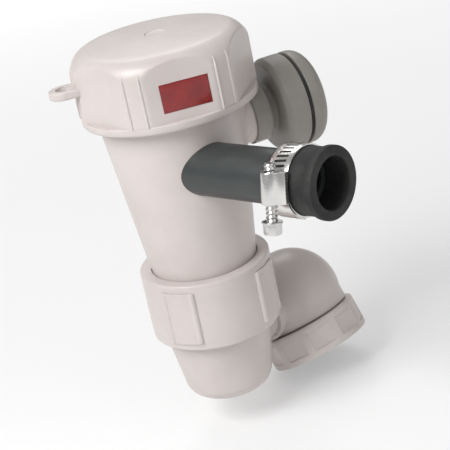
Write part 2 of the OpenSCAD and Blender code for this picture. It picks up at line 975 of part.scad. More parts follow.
// Bowl with a rounded foot, a threaded rim and a side stub for the elbow
module bowl_outline() {
    rotate_extrude() polygon(concat(
        [[0, 0]],
        arc([bowl_foot_r, bowl_round], bowl_round, -90, 0),
        [
            [bowl_r, bowl_h],
            [bowl_r, bowl_h + thread_runout],
            [thread_r - thread_depth, bowl_h + thread_runout],
            [thread_r - thread_depth, z_bowl_top],
            [0, z_bowl_top]
        ]));
    translate([0, 0, bowl_h + thread_runout])
        ridges(thread_r, thread_depth, thread_pitch, z_bowl_top - bowl_h - thread_runout);
}

module inlet_bowl() {
    color(plastic) at_pump() difference() {
        union() {
            bowl_outline();
            translate([0, 0, elbow_z]) rotate([-90, 0, 0])
                cylinder(r = stub_r, h = elbow_reach - elbow_r + stub_depth);
        }
        rotate_extrude() polygon(concat(
            [[0, wall]],
            arc([bowl_foot_r, bowl_round + wall / 4], bowl_round - wall * 3 / 4, -90, 0),
            [
                [neck_r - wall, bowl_h],
                [neck_r - wall, z_bowl_top - ledge_h],
                [neck_r - wall + ledge_w, z_bowl_top - ledge_h],
                [neck_r - wall + ledge_w, z_bowl_top + over],
                [0, z_bowl_top + over]
            ]));
        translate([0, 0, elbow_z]) rotate([-90, 0, 0])
            cylinder(r = stub_r - stub_wall, h = elbow_reach);
        translate([0, socket_mid, elbow_z]) rotate([90, 0, 0])
            o_ring(stub_r, stub_wall / 3);
    }
}

// Elbow: a round bend with a socket on the stub and a flanged leg in the union
socket_mid = elbow_reach - elbow_r + stub_depth - socket_l / 2;

module elbow_shape() {
    difference() {
        union() {
            translate(ball) sphere(r = elbow_r);
            on_union() cylinder(r = elbow_r - cheek_step, h = cheek_l);
        }
        on_union() translate([-union_r, -union_r, cheek_l])
            cube([2 * union_r, 2 * union_r, elbow_r]);
    }
    on_union() {
        cylinder(r = leg_r, h = t_seat);
        translate([0, 0, t_flange]) cylinder(r = union_thread_r - turn_gap, h = flange_t);
    }
    translate([0, elbow_reach - elbow_r + stub_depth - socket_l, elbow_z]) rotate([-90, 0, 0])
        cylinder(r = stub_r + socket_wall, h = socket_l);
}

module suction_elbow() {
    color(plastic) at_pump() difference() {
        elbow_shape();
        translate(ball) sphere(r = elbow_r - elbow_wall);
        on_union() cylinder(r = leg_bore_r, h = t_seat + over);
        translate([0, 0, elbow_z]) rotate([-90, 0, 0])
            cylinder(r = stub_r + still_gap, h = elbow_reach);
    }
}

module elbow_o_ring() {
    color(rubber) at_pump() translate([0, socket_mid, elbow_z]) rotate([90, 0, 0])
        intersection() {
            o_ring(stub_r, stub_wall / 3);
            translate([0, 0, -socket_l]) cylinder(r = stub_r + still_gap, h = 2 * socket_l);
        }
}

// Union nut with a top lip and a ring of recessed grip panels
module union_nut() {
    panel_w = 2 * PI * union_r / union_panels - panel_rib;
    color(plastic) at_pump() on_union() difference() {
        rotate_extrude() polygon([
            [0, t_nut],
            [union_r - union_chamfer, t_nut],
            [union_r, t_nut + union_chamfer],
            [union_r, t_mouth - union_chamfer],
            [union_r - union_chamfer, t_mouth],
            [0, t_mouth]
        ]);
        cylinder(r = leg_r + turn_gap, h = t_mouth + over);
        translate([0, 0, t_thread]) cylinder(r = union_thread_r, h = union_h);
        translate([0, 0, t_nut + union_lip_h])
            cylinder(r = union_thread_r + union_relief, h = t_thread - t_nut - union_lip_h);
        for (i = [0:union_panels - 1]) {
            rotate([0, 0, i * 360 / union_panels])
                translate([union_r - panel_depth, -panel_w / 2, t_nut + panel_edge])
                    cube([union_r, panel_w, union_h - 2 * panel_edge]);
        }
    }
}

module union_gasket() {
    color(rubber) at_pump() on_union() translate([0, 0, t_seat])
        tube(union_thread_r - turn_gap, leg_bore_r, union_gasket_t);
}

// Terminal box: a neck, a round box with the block, and a screwed round cover
module terminal_housing() {
    color(dark_plastic) at_pump() difference() {
        on_terminal() {
            translate([0, 0, top_r - wall]) cylinder(r = neck_out_r, h = term_start - top_r + wall + over);
            translate([0, 0, term_start]) rotate_extrude() polygon([
                [0, 0],
                [term_r - term_wall, 0],
                [term_r, term_wall],
                [term_r, term_box_l],
                [term_r - term_wall, term_box_l],
                [term_r - term_wall, term_box_l + cover_lap],
                [0, term_box_l + cover_lap]
            ]);
        }
        on_terminal() {
            cylinder(r = neck_bore_r, h = term_reach - term_wall);
            translate([0, 0, term_start + term_wall])
                cylinder(r = term_r - 2 * term_wall, h = term_reach);
        }
        on_gland() cylinder(r = gland_tube_r + still_gap, h = term_d);
    }
}

module terminal_cover() {
    color(dark_plastic) at_pump() on_terminal()
        translate([0, 0, term_start + term_box_l + 2 * term_seal_r + 2 * seal_slack])
            difference() {
                rotate_extrude() polygon(concat(
                    [[0, 0], [term_r, 0]],
                    arc([term_r - term_round, term_cover_l - 2 * term_seal_r - term_round],
                        term_round, 0, 90),
                    [[0, term_cover_l - 2 * term_seal_r]]));
                translate([0, 0, -over])
                    cylinder(r = term_r - term_wall + turn_gap, h = cover_lap + over);
                cylinder(r = term_r - 2 * term_wall, h = term_cover_l - 2 * term_seal_r - term_wall);
            }
}

module terminal_seal() {
    color(rubber) at_pump() on_terminal()
        translate([0, 0, term_start + term_box_l + term_seal_r + seal_slack / 2])
            o_ring(term_r - term_wall / 2, term_seal_r);
}

module terminal_block() {
    color(plastic) at_pump() on_terminal()
        translate([-term_r / 2, 0, term_start + term_wall]) difference() {
            translate([-block_w / 2, -block_l / 2, 0]) cube([block_w, block_l, block_h]);
            for (side = [-1, 1]) {
                translate([0, side * block_pitch / 2, block_h / 2])
                    cylinder(r = block_screw_r + still_gap, h = block_h, $fn = 32);
            }
        }
}

module terminal_screws() {
    color(brass) at_pump() on_terminal()
        translate([-term_r / 2, 0, term_start + term_wall]) for (side = [-1, 1]) {
            translate([0, side * block_pitch / 2, block_h / 2]) difference() {
                cylinder(r = block_screw_r, h = block_h / 2, $fn = 32);
                translate([-block_screw_r, -bearing_lip / 2, block_h / 3])
                    cube([2 * block_screw_r, bearing_lip, block_h]);
            }
        }
}

// Cable gland: a body through the side of the box, a rubber bush and a dome nut
gland_seat = term_r - term_wall * 2;

module cable_gland() {
    color(dark_plastic) at_pump() on_gland() difference() {
        union() {
            translate([0, 0, gland_seat]) cylinder(r = gland_tube_r, h = 2 * term_wall + gland_hex_l);
            translate([0, 0, term_r + turn_gap]) cylinder(r = gland_hex_r, h = gland_hex_l, $fn = 6);
            translate([0, 0, term_r]) cylinder(r = gland_tube_r, h = gland_hex_l + gland_thread_l);
        }
        translate([0, 0, gland_seat - over])
            cylinder(r = gland_bore_d / 2 + bush_t, h = term_d);
    }
}

module gland_bush() {
    color(rubber) at_pump() on_gland() translate([0, 0, term_r + gland_hex_l])
        tube(gland_bore_d / 2 + bush_t - still_gap, gland_bore_d / 2, gland_thread_l);
}

module gland_nut() {
    color(dark_plastic) at_pump() on_gland()
        translate([0, 0, term_r + gland_hex_l + turn_gap]) difference() {
            union() {
                cylinder(r = gland_nut_r, h = gland_nut_l / 2, $fn = 6);
                translate([0, 0, gland_nut_l / 2])
                    cylinder(r1 = gland_r, r2 = gland_tube_r, h = gland_nut_l / 2);
            }
            translate([0, 0, -over]) cylinder(r = gland_tube_r + turn_gap, h = gland_thread_l + over);
            cylinder(r = gland_bore_d / 2, h = gland_nut_l + over);
        }
}

motor_cap();
cap_window();
cap_seal();
pump_body();
volute_casing();
casing_o_ring();
bulkhead();
bulkhead_screws();
shaft_seal();
motor_can();
motor_end_bell();
field_magnets();
armature();
coil_heads();
commutator();
brush_holder();
carbon_brushes();
motor_shaft();
upper_bearing();
lower_bearing();
motor_screws();
impeller();
impeller_nut();
outlet_spigot();
spigot_gasket();
hose_cuff();
clamp_band();
clamp_housing();
clamp_screw();
ring_nut();
nut_snap_ring();
bowl_gasket();
strainer();
inlet_bowl();
suction_elbow();
elbow_o_ring();
union_nut();
union_gasket();
terminal_housing();
terminal_cover();
terminal_seal();
terminal_block();
terminal_screws();
cable_gland();
gland_bush();
gland_nut();
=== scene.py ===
from math import asin, cos, pi, radians, sin

import bmesh
import bpy
from mathutils import Matrix, Vector


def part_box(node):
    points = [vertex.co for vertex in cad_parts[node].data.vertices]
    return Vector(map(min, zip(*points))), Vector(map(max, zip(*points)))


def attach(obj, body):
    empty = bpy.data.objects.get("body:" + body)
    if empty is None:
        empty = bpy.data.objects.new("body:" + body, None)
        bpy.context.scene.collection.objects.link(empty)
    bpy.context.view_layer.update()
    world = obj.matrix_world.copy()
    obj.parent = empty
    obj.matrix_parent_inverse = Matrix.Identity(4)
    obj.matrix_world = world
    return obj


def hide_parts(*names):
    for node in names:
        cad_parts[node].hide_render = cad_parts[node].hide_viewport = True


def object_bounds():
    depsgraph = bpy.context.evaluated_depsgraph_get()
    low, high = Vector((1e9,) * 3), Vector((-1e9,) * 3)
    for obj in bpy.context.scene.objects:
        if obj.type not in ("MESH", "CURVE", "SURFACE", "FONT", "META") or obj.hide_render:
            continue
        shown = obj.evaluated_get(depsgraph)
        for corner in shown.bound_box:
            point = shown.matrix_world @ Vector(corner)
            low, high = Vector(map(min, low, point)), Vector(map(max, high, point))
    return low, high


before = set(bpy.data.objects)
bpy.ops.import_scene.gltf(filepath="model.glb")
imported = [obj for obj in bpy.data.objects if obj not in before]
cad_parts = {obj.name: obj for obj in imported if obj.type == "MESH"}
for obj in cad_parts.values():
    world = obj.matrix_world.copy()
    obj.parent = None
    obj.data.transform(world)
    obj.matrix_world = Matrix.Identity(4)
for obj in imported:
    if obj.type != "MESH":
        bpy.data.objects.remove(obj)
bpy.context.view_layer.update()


# Strainer bowl: a moulded cup in light warm grey polypropylene with a round foot, a threaded rim
# and a short inlet stub at its back. It is turned about the pump's axis here, with the stub
# joined to it, and it screws up into the ring nut.
MM = 0.001
TOUCHING = 0.0001 * MM


def pump_frame():
    """The pump's own axis at the underside of its bowl, read from where the CAD's pieces are."""
    low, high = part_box("motor_can")
    middle = (low + high) / 2
    return Matrix.Translation((middle.x, middle.y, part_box("inlet_bowl")[0].z))


PUMP = pump_frame()


def moved(x, y, z):
    """A shift in millimetres."""
    return Matrix.Translation((x * MM, y * MM, z * MM))


def rotated(degrees, axis):
    return Matrix.Rotation(radians(degrees), 4, axis)


def softened(corners, steps=4):
    """Closed outline of (radius, height, rounding) corners in millimetres, each eased by its rounding."""
    most_of_a_side = 0.48
    outline = []
    count = len(corners)
    for i, (r, z, ease) in enumerate(corners):
        here = Vector((r, z))
        before = Vector(corners[i - 1][:2])
        after = Vector(corners[(i + 1) % count][:2])
        if ease == 0:
            outline.append(here)
            continue
        into, away = (here - before), (after - here)
        ease = min(ease, into.length * most_of_a_side, away.length * most_of_a_side)
        start, end = here - into.normalized() * ease, here + away.normalized() * ease
        for k in range(steps + 1):
            s = k / steps
            outline.append((1 - s) ** 2 * start + 2 * s * (1 - s) * here + s * s * end)
    return outline


def arc_corners(centre_r, centre_z, radius, start, end, steps):
    """Corners along an arc, for a round that softened() has no need to ease."""
    return [(centre_r + radius * cos(radians(start + (end - start) * k / steps)),
             centre_z + radius * sin(radians(start + (end - start) * k / steps)), 0)
            for k in range(steps + 1)]


def corner(shape, r, a, z):
    """A new corner of a mesh, at a radius and a height in millimetres in the direction a."""
    return shape.verts.new((r * MM * cos(a), r * MM * sin(a), z * MM))


def turned(outline, place, steps=160):
    """A closed outline turned round the Z axis of place, with one vertex where it meets the axis."""
    shape = bmesh.new()
    rings = []
    for point in outline:
        r, z = max(point[0], 0), point[1]
        if r * MM < TOUCHING:
            rings.append([corner(shape, 0, 0, z)] * steps)
        else:
            rings.append([corner(shape, r, 2 * pi * k / steps, z) for k in range(steps)])
    for i, ring in enumerate(rings):
        below = rings[i - 1]
        for k in range(steps):
            corners = [below[k], below[(k + 1) % steps], ring[(k + 1) % steps], ring[k]]
            corners = list(dict.fromkeys(corners))
            if len(corners) > 2:
                shape.faces.new(corners)
    return finished_mesh(shape, place)


def straight_bar(radius, low, high, place, steps):
    return turned([(0, low), (radius, low), (radius, high), (0, high)], place, steps)


def finished_mesh(shape, place):
    """Closes a mesh in progress, turns its faces outwards and puts it at its place."""
    bmesh.ops.remove_doubles(shape, verts=shape.verts, dist=TOUCHING)
    bmesh.ops.recalc_face_normals(shape, faces=shape.faces)
    shape.transform(place)
    mesh = bpy.data.meshes.new("moulding")
    shape.to_mesh(mesh)
    shape.free()
    return mesh


def as_object(name, mesh):
    made = bpy.data.objects.new(name, mesh)
    bpy.context.scene.collection.objects.link(made)
    return made


def evaluated(made):
    """Applies the object's modifiers to its mesh."""
    graph = bpy.context.evaluated_depsgraph_get()
    mesh = bpy.data.meshes.new_from_object(made.evaluated_get(graph))
    made.modifiers.clear()
    made.data = mesh


def taken(made):
    """The mesh of a helper object, and the object removed."""
    mesh = made.data
    bpy.data.objects.remove(made)
    return mesh


def cut_and_joined(base, joined=(), cut=()):
    """Joins and cuts helper meshes into base with exact booleans, and removes the helpers."""
    for meshes, operation in ((joined, "UNION"), (cut, "DIFFERENCE")):
        for mesh in meshes:
            tool = as_object("tool", mesh)
            step = base.modifiers.new(operation, "BOOLEAN")
            step.operation, step.solver, step.object = operation, "EXACT", tool
            evaluated(base)
            bpy.data.objects.remove(tool)
    return base


def trimmed(mesh, *cut):
    """A helper mesh with the given shapes cut out of it."""
    return taken(cut_and_joined(as_object("trimmed", mesh), [], cut))


def eased_edges(made, width, sharp=32, segments=2):
    """A small moulded radius on every edge that is left sharp, and smooth shading between them."""
    ease = made.modifiers.new("Eased edges", "BEVEL")
    ease.width, ease.segments = width * MM, segments
    ease.limit_method, ease.angle_limit = "ANGLE", radians(sharp)
    ease.use_clamp_overlap = True
    evaluated(made)
    return smooth(made)


def cleaned(made):
    """Merges corners that a cut left a few microns apart, and drops the faces without area between them."""
    hair = 0.004 * MM
    shape = bmesh.new()
    shape.from_mesh(made.data)
    bmesh.ops.remove_doubles(shape, verts=shape.verts, dist=hair)
    bmesh.ops.dissolve_degenerate(shape, edges=shape.edges, dist=hair)
    shape.to_mesh(made.data)
    shape.free()


def smooth(made, sharp=40):
    cleaned(made)
    made.data.shade_smooth()
    made.data.set_sharp_from_angle(angle=radians(sharp))
    return made


def settle(made, material, slot, body, *nodes, place=None):
    """Puts a finished piece at its place, gives it its material, hangs it on its body and hides the CAD nodes
    it replaces.
    """
    if place:
        made.data.transform(place)
    made.data.materials.clear()
    made.data.materials.append(material)
    if nodes:
        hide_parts(*nodes)
    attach(made, body)


def new_material(name):
    material = bpy.data.materials.new(name)
    material.use_nodes = True
    tree = material.node_tree
    shader = tree.nodes["Principled BSDF"]
    place = tree.nodes.new("ShaderNodeTexCoord")
    return material, tree, shader, place.outputs["Object"]


def noise(tree, where, scale, detail=3.0, rough=0.5, stretch=None):
    if stretch:
        mapping = tree.nodes.new("ShaderNodeMapping")
        mapping.inputs["Scale"].default_value = stretch
        tree.links.new(where, mapping.inputs["Vector"])
        where = mapping.outputs["Vector"]
    texture = tree.nodes.new("ShaderNodeTexNoise")
    texture.inputs["Scale"].default_value = scale
    texture.inputs["Detail"].default_value = detail
    texture.inputs["Roughness"].default_value = rough
    tree.links.new(where, texture.inputs["Vector"])
    return texture.outputs["Fac"]


def ramp(tree, value, low, high, from_value=0.3, to_value=0.7):
    """Maps a value between two tones or two numbers."""
    if isinstance(low, (int, float)):
        spread = tree.nodes.new("ShaderNodeMapRange")
        spread.inputs["From Min"].default_value = from_value
        spread.inputs["From Max"].default_value = to_value
        spread.inputs["To Min"].default_value = low
        spread.inputs["To Max"].default_value = high
        tree.links.new(value, spread.inputs["Value"])
        return spread.outputs["Result"]
    tones = tree.nodes.new("ShaderNodeValToRGB")
    tones.color_ramp.elements[0].position = from_value
    tones.color_ramp.elements[1].position = to_value
    tones.color_ramp.elements[0].color = (*low, 1)
    tones.color_ramp.elements[1].color = (*high, 1)
    tree.links.new(value, tones.inputs["Fac"])
    return tones.outputs["Color"]


def varied(tree, shader, socket, pattern, *values):
    """Drives an input of the shader from a pattern, between two tones or two numbers."""
    tree.links.new(ramp(tree, pattern, *values), shader.inputs[socket])


def bumped(tree, shader, heights):
    """Chains bumps of (height, strength, distance in millimetres) into the shader's normal."""
    normal = None
    for height, strength, distance in heights:
        bump = tree.nodes.new("ShaderNodeBump")
        bump.inputs["Strength"].default_value = strength
        bump.inputs["Distance"].default_value = distance * MM
        tree.links.new(height, bump.inputs["Height"])
        if normal:
            tree.links.new(normal, bump.inputs["Normal"])
        normal = bump.outputs["Normal"]
    tree.links.new(normal, shader.inputs["Normal"])


def moulded_plastic(name, tone, shade, rough=(0.27, 0.42), grain=0.12):
    """Injection-moulded plastic: faint flow clouding, a fine spark-eroded grain and a soft waviness."""
    material, tree, shader, where = new_material(name)
    clouds = noise(tree, where, 26, 4, 0.55)
    fine = noise(tree, where, 1500, 2, 0.6)
    waves = noise(tree, where, 60, 2, 0.5)
    varied(tree, shader, "Base Color", clouds, shade, tone, 0.36, 0.64)
    varied(tree, shader, "Roughness", fine, *rough)
    bumped(tree, shader, [(waves, 0.12, 0.5), (fine, grain, 0.12)])
    shader.inputs["IOR"].default_value = 1.49
    return material


light_plastic = moulded_plastic("light_plastic", (0.62, 0.562, 0.542), (0.565, 0.508, 0.488))

bowl_r, bowl_h, bowl_round, bowl_foot_r = 29.0, 39.0, 9.0, 15.0
wall, rim_r, rim_foot, bowl_top = 3.0, 29.8, 5.0, 62.0
mouth_r, seat_depth, hollow_r, floor_t = 27.0, 3.0, 25.0, 3.0
hollow_foot_r, hollow_bend_r, hollow_bend_z = 14.6, 21.2, 12.0
stub_r, stub_bore_r, stub_z, stub_from, stub_to = 12.0, 9.0, 23.0, 20.0, 42.0
gate_r, gate_depth, gate_pip_r, gate_pip_h = 4.2, 0.35, 1.9, 0.2
middle_low, middle_foot_r, middle_bend_r, middle_top_r, over = 6.0, 22.0, 22.6, 27.4, 2.0
bowl_outline = softened(
    [(0, 0, 0)]
    + arc_corners(bowl_foot_r, bowl_round, bowl_round, -90, 0, 10)
    + [(bowl_r, bowl_h, 0.3), (bowl_r, bowl_h + rim_foot, 0.2), (rim_r, bowl_h + rim_foot + 0.2, 0.2),
       (rim_r, bowl_top, 0.3), (mouth_r, bowl_top, 0.3), (mouth_r, bowl_top - seat_depth, 0.1),
       (hollow_r, bowl_top - seat_depth, 0.3), (hollow_r, bowl_h, 0.2), (hollow_bend_r, hollow_bend_z, 2),
       (hollow_foot_r, floor_t, 3), (0, floor_t, 0)])
bowl = as_object("strainer_bowl", turned(bowl_outline, PUMP, 192))
stub_way = PUMP @ moved(0, 0, stub_z) @ rotated(-90, "X")
stub = turned(softened([(0, stub_from, 0), (stub_r, stub_from, 0), (stub_r, stub_to, 0.6), (0, stub_to, 0)]),
              stub_way, 96)
stub_bore = straight_bar(stub_bore_r, stub_from - over, stub_to + over, stub_way, 96)
wall_middle = turned([(0, middle_low), (middle_foot_r, middle_low), (middle_bend_r, bowl_round),
                      (middle_top_r, bowl_h), (0, bowl_h)], PUMP, 192)
gate_dish = turned(softened(
    [(0, -over / 2, 0), (gate_r + 0.3, -over / 2, 0), (gate_r, gate_depth, 0.2),
     (gate_pip_r + 0.3, gate_depth, 0.1), (gate_pip_r, gate_depth - gate_pip_h, 0.1),
     (0, gate_depth - gate_pip_h, 0)]), PUMP, 48)
cut_and_joined(bowl, [trimmed(stub, wall_middle)], [stub_bore, gate_dish])
settle(smooth(bowl), light_plastic, "light_plastic", "pump", "inlet_bowl")


# Strainer, its seat's gasket and the stub's O-ring: a slotted dark basket that hangs by its flange in the
# bowl's mouth, and two black rubber rings that keep the water in.
dark_plastic = moulded_plastic("dark_plastic", (0.165, 0.152, 0.138), (0.130, 0.120, 0.110), (0.40, 0.55))


def seal_rubber(name, tone, dust):
    """Matt moulded rubber with a fine grain and a faint pale bloom."""
    material, tree, shader, where = new_material(name)
    bloom = noise(tree, where, 90, 5, 0.6)
    fine = noise(tree, where, 2200, 2, 0.5)
    varied(tree, shader, "Base Color", bloom, tone, dust, 0.42, 0.8)
    varied(tree, shader, "Roughness", fine, 0.55, 0.75)
    bumped(tree, shader, [(fine, 0.18, 0.1)])
    shader.inputs["Specular IOR Level"].default_value = 0.35
    return material


rubber = seal_rubber("rubber", (0.018, 0.018, 0.018), (0.045, 0.044, 0.042))


def dress(material, *names):
    """A CAD piece whose shape is right keeps it and gets its finish here."""
    for name in names:
        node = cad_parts[name]
        node.data.materials.clear()
        node.data.materials.append(material)


dress(dark_plastic, "strainer")
dress(rubber, "bowl_gasket", "elbow_o_ring")


# Ring nut: the moulded nut that draws the bowl up to the body, in the same light plastic as both.
# Its ring is turned, and four pads, each with a half-round grip rib at either end, stand on it.
nut_low, nut_high, nut_r, nut_bore_r, nut_neck_r = 39.0, 76.0, 34.5, 30.9, 28.4
nut_collar, nut_draft, nut_collar_h = 5.0, 0.2, 6.0
nut_lugs, lug_turn, lug_spread = 4, -75, 26
grip_rib_r, grip_rib_sink, rib_inset, pad_t, pad_root = 2.0, 0.3, 4.0, 0.8, 1.0


def round_the_axis_tree():
    """Geometry Nodes that set copies of one shape round the Z axis, in groups, and give them a material."""
    tree = bpy.data.node_groups.new("Copies round an axis", "GeometryNodeTree")
    sockets = (("Shape", "Geometry", None), ("Groups", "Int", 6), ("Copies in a group", "Int", 1),
               ("First angle", "Float", 0.0), ("Angle between copies", "Float", 0.0),
               ("Finish", "Material", None))
    for name, kind, value in sockets:
        socket = tree.interface.new_socket(name, in_out="INPUT", socket_type="NodeSocket" + kind)
        if value is not None:
            socket.default_value = value
    tree.interface.new_socket("Shape", in_out="OUTPUT", socket_type="NodeSocketGeometry")
    node, link = tree.nodes.new, tree.links.new
    inputs, outputs = node("NodeGroupInput"), node("NodeGroupOutput")
    points, index = node("GeometryNodePoints"), node("GeometryNodeInputIndex")
    place, real = node("GeometryNodeInstanceOnPoints"), node("GeometryNodeRealizeInstances")
    finish = node("GeometryNodeSetMaterial")
    turn = node("ShaderNodeCombineXYZ")

    def maths(operation, a, b):
        step = node("ShaderNodeMath")
        step.operation = operation
        for socket, value in zip(step.inputs, (a, b)):
            if isinstance(value, (int, float)):
                socket.default_value = value
            elif value is not None:
                link(value, socket)
        return step.outputs[0]

    per_group = inputs.outputs["Copies in a group"]
    group = maths("FLOOR", maths("DIVIDE", maths("ADD", index.outputs[0], 0.5), per_group), None)
    within = maths("SUBTRACT", index.outputs[0], maths("MULTIPLY", group, per_group))
    angle = maths("ADD", maths("MULTIPLY", group, maths("DIVIDE", 2 * pi, inputs.outputs["Groups"])),
                  maths("ADD", inputs.outputs["First angle"],
                        maths("MULTIPLY", within, inputs.outputs["Angle between copies"])))
    link(maths("MULTIPLY", inputs.outputs["Groups"], per_group), points.inputs["Count"])
    link(angle, turn.inputs["Z"])
    link(points.outputs[0], place.inputs["Points"])
    link(inputs.outputs["Shape"], place.inputs["Instance"])
    link(turn.outputs[0], place.inputs["Rotation"])
    link(place.outputs[0], real.inputs[0])
    link(real.outputs[0], finish.inputs["Geometry"])
    link(inputs.outputs["Finish"], finish.inputs["Material"])
    link(finish.outputs[0], outputs.inputs[0])
    return tree


ROUND_THE_AXIS = round_the_axis_tree()


def copies_round(mesh, place, finish, groups, per_group=1, first=0.0, between=0.0):
    """One mesh made of copies round the Z axis of place of a shape that is drawn about the plain Z axis."""
    made = as_object("copies", mesh)
    layout = made.modifiers.new("Copies round an axis", "NODES")
    layout.node_group = ROUND_THE_AXIS
    values = {"Groups": groups, "Copies in a group": per_group, "First angle": radians(first),
              "Angle between copies": radians(between), "Finish": finish}
    for item in ROUND_THE_AXIS.interface.items_tree:
        if item.in_out == "INPUT" and item.name in values:
            layout[item.identifier] = values[item.name]
    evaluated(made)
    made.data.transform(place)
    return taken(made)


def upright(radius, low, high, at_x, steps=28, ease=0.6):
    """A round bar along Z at a distance along X, with eased ends."""
    outline = softened([(0, low, 0), (radius, low, ease), (radius, high, ease), (0, high, 0)])
    return turned(outline, moved(at_x, 0, 0), steps)


def walled(shape, rows, ends=()):
    """Faces between rows of corners that run once round the piece, and over the rows that end it."""
    for low, high in zip(rows, rows[1:]):
        for k in range(len(low)):
            n = (k + 1) % len(low)
            shape.faces.new((low[k], low[n], high[n], high[k]))
    for end in ends:
        shape.faces.new(rows[end])


def pad(inner, outer, low, high, span, steps=16):
    """A part of a ring that starts on the X axis and runs through span degrees."""
    shape = bmesh.new()
    rows = []
    for k in range(steps + 1):
        a = radians(span * k / steps)
        rows.append([corner(shape, r, a, z)
                     for r, z in ((inner, low), (outer, low), (outer, high), (inner, high))])
    walled(shape, rows, (0, -1))
    return finished_mesh(shape, Matrix())


ring_outline = softened([
    (nut_bore_r, nut_low, 0.4), (nut_r - nut_draft, nut_low, 1.0), (nut_r, nut_low + nut_collar, 0),
    (nut_r, nut_high - nut_collar, 0), (nut_r, nut_high, 1.4), (nut_neck_r, nut_high, 0.4),
    (nut_neck_r, nut_high - nut_collar_h, 0.2), (nut_bore_r, nut_high - nut_collar_h, 0.2)], 5)
ring_nut = as_object("ring_nut_moulding", turned(ring_outline, PUMP, 216))
rib_low, rib_high = nut_low + rib_inset, nut_high - rib_inset
grip_rib = upright(grip_rib_r, rib_low, rib_high, nut_r - grip_rib_r * grip_rib_sink, ease=1.2)
ribs = copies_round(grip_rib, PUMP, light_plastic, nut_lugs, 2, lug_turn - lug_spread / 2, lug_spread)
pads = copies_round(pad(nut_r - pad_root, nut_r + pad_t, rib_low, rib_high, lug_spread), PUMP, light_plastic,
                    nut_lugs, 1, lug_turn - lug_spread / 2)
cut_and_joined(ring_nut, [pads, ribs])
settle(eased_edges(ring_nut, 0.35), light_plastic, "light_plastic", "ring_nut", "ring_nut")


# Snap ring: a split ring of spring steel wire, squared, in the groove over the body's foot. The ring nut
# hangs on it and turns round it.
def worked_steel(name, tone, shade, rough=(0.22, 0.36), stretch=(1, 1, 14), marks=700):
    """Bare steel with drawn or rolled marks along one direction and small clouding."""
    material, tree, shader, where = new_material(name)
    lines = noise(tree, where, marks, 3, 0.6, stretch)
    clouds = noise(tree, where, 60, 3, 0.5)
    varied(tree, shader, "Base Color", clouds, shade, tone, 0.35, 0.65)
    varied(tree, shader, "Roughness", lines, *rough)
    bumped(tree, shader, [(lines, 0.10, 0.05)])
    shader.inputs["Metallic"].default_value = 1.0
    return material


stainless = worked_steel("stainless", (0.74, 0.73, 0.72), (0.60, 0.595, 0.59))
dress(stainless, "nut_snap_ring")


# Pump body: the tapered moulding that everything hangs on, in light plastic. It is turned, with a floor
# under the impeller and a threaded collar for the cap, then bored for the outlet and the terminal neck.
neck_r, top_r, collar_r = 28.0, 37.5, 38.8
z_foot, z_snap, z_neck, z_cap, z_collar = 64.5, 67.4, 76.0, 161.0, 180.0
snap_w, snap_depth, step_h, lead_in = 2.6, 1.4, 1.5, 2.0
thread_at, thread_h, thread_flank, thread_top = (164.5, 168.5, 172.5), 0.7, 1.6, 2.4
z_web, web_t, eye_way_r = 118.0, 3.0, 13.5
outlet_offset, outlet_z, outlet_hole = 12.0, 134.0, (13.6, 5.0, 60.0)
term_z, term_turn, boss_r, boss_from, boss_reach, neck_hole = 144.0, 65, 15.0, 30.0, 46.0, (12.1, 20.0, 60.0)
parting_r, parting_turns, middle_from = 0.22, (55, 235), 120.0


def body_r(z):
    return neck_r + (top_r - neck_r) * (z - z_neck) / (z_cap - z_neck)


thread = []
for z in thread_at:
    thread += [(collar_r, z, 0), (collar_r + thread_h, z + thread_flank, 0.3),
               (collar_r + thread_h, z + thread_top, 0.3)]
body_outline = softened(
    [(neck_r, z_foot, 0.4), (neck_r, z_snap, 0.1), (neck_r - snap_depth, z_snap, 0),
     (neck_r - snap_depth, z_snap + snap_w, 0), (neck_r, z_snap + snap_w, 0.1), (neck_r, z_neck, 1),
     (top_r, z_cap, 0.5), (top_r, z_cap + step_h, 0.3)]
    + thread
    + [(collar_r, z_collar - lead_in, 0), (collar_r, z_collar, 0.6), (top_r - wall, z_collar, 0.4),
       (top_r - wall, z_cap, 0), (body_r(z_web + web_t) - wall, z_web + web_t, 0.8),
       (eye_way_r, z_web + web_t, 0.2), (eye_way_r, z_web, 0.2), (body_r(z_web) - wall, z_web, 0.8),
       (neck_r - wall, z_neck, 0), (neck_r - wall, z_foot, 0.4)])
OUTLET = PUMP @ moved(0, -outlet_offset, outlet_z) @ rotated(90, "Y")
TERMINAL = PUMP @ moved(0, 0, term_z) @ rotated(term_turn, "Z") @ rotated(90, "Y")


def bar(radius, low, high, place, steps=96, ease=0):
    outline = softened([(0, low, 0), (radius, low, ease), (radius, high, ease), (0, high, 0)])
    return turned(outline, place, steps)


body = as_object("tapered_body", turned(body_outline, PUMP, 240))
body_middle = turned([(0, middle_from), (body_r(middle_from) - wall / 2, middle_from),
                      (body_r(z_cap) - wall / 2, z_cap), (0, z_cap)], PUMP, 240)
boss = trimmed(bar(boss_r, boss_from, boss_reach, TERMINAL, ease=0.8), body_middle)
parting = []
for turn in parting_turns:
    line = bar(parting_r, z_neck + 2, z_cap - 1, Matrix(), 10)
    line.transform(PUMP @ rotated(turn, "Z") @ moved(neck_r, 0, z_neck)
                   @ Matrix.Rotation((top_r - neck_r) / (z_cap - z_neck), 4, "Y") @ moved(0, 0, -z_neck))
    parting.append(line)
cut_and_joined(body, [boss] + parting, [bar(*neck_hole, TERMINAL), bar(*outlet_hole, OUTLET)])
settle(smooth(body), light_plastic, "light_plastic", "pump", "pump_body")


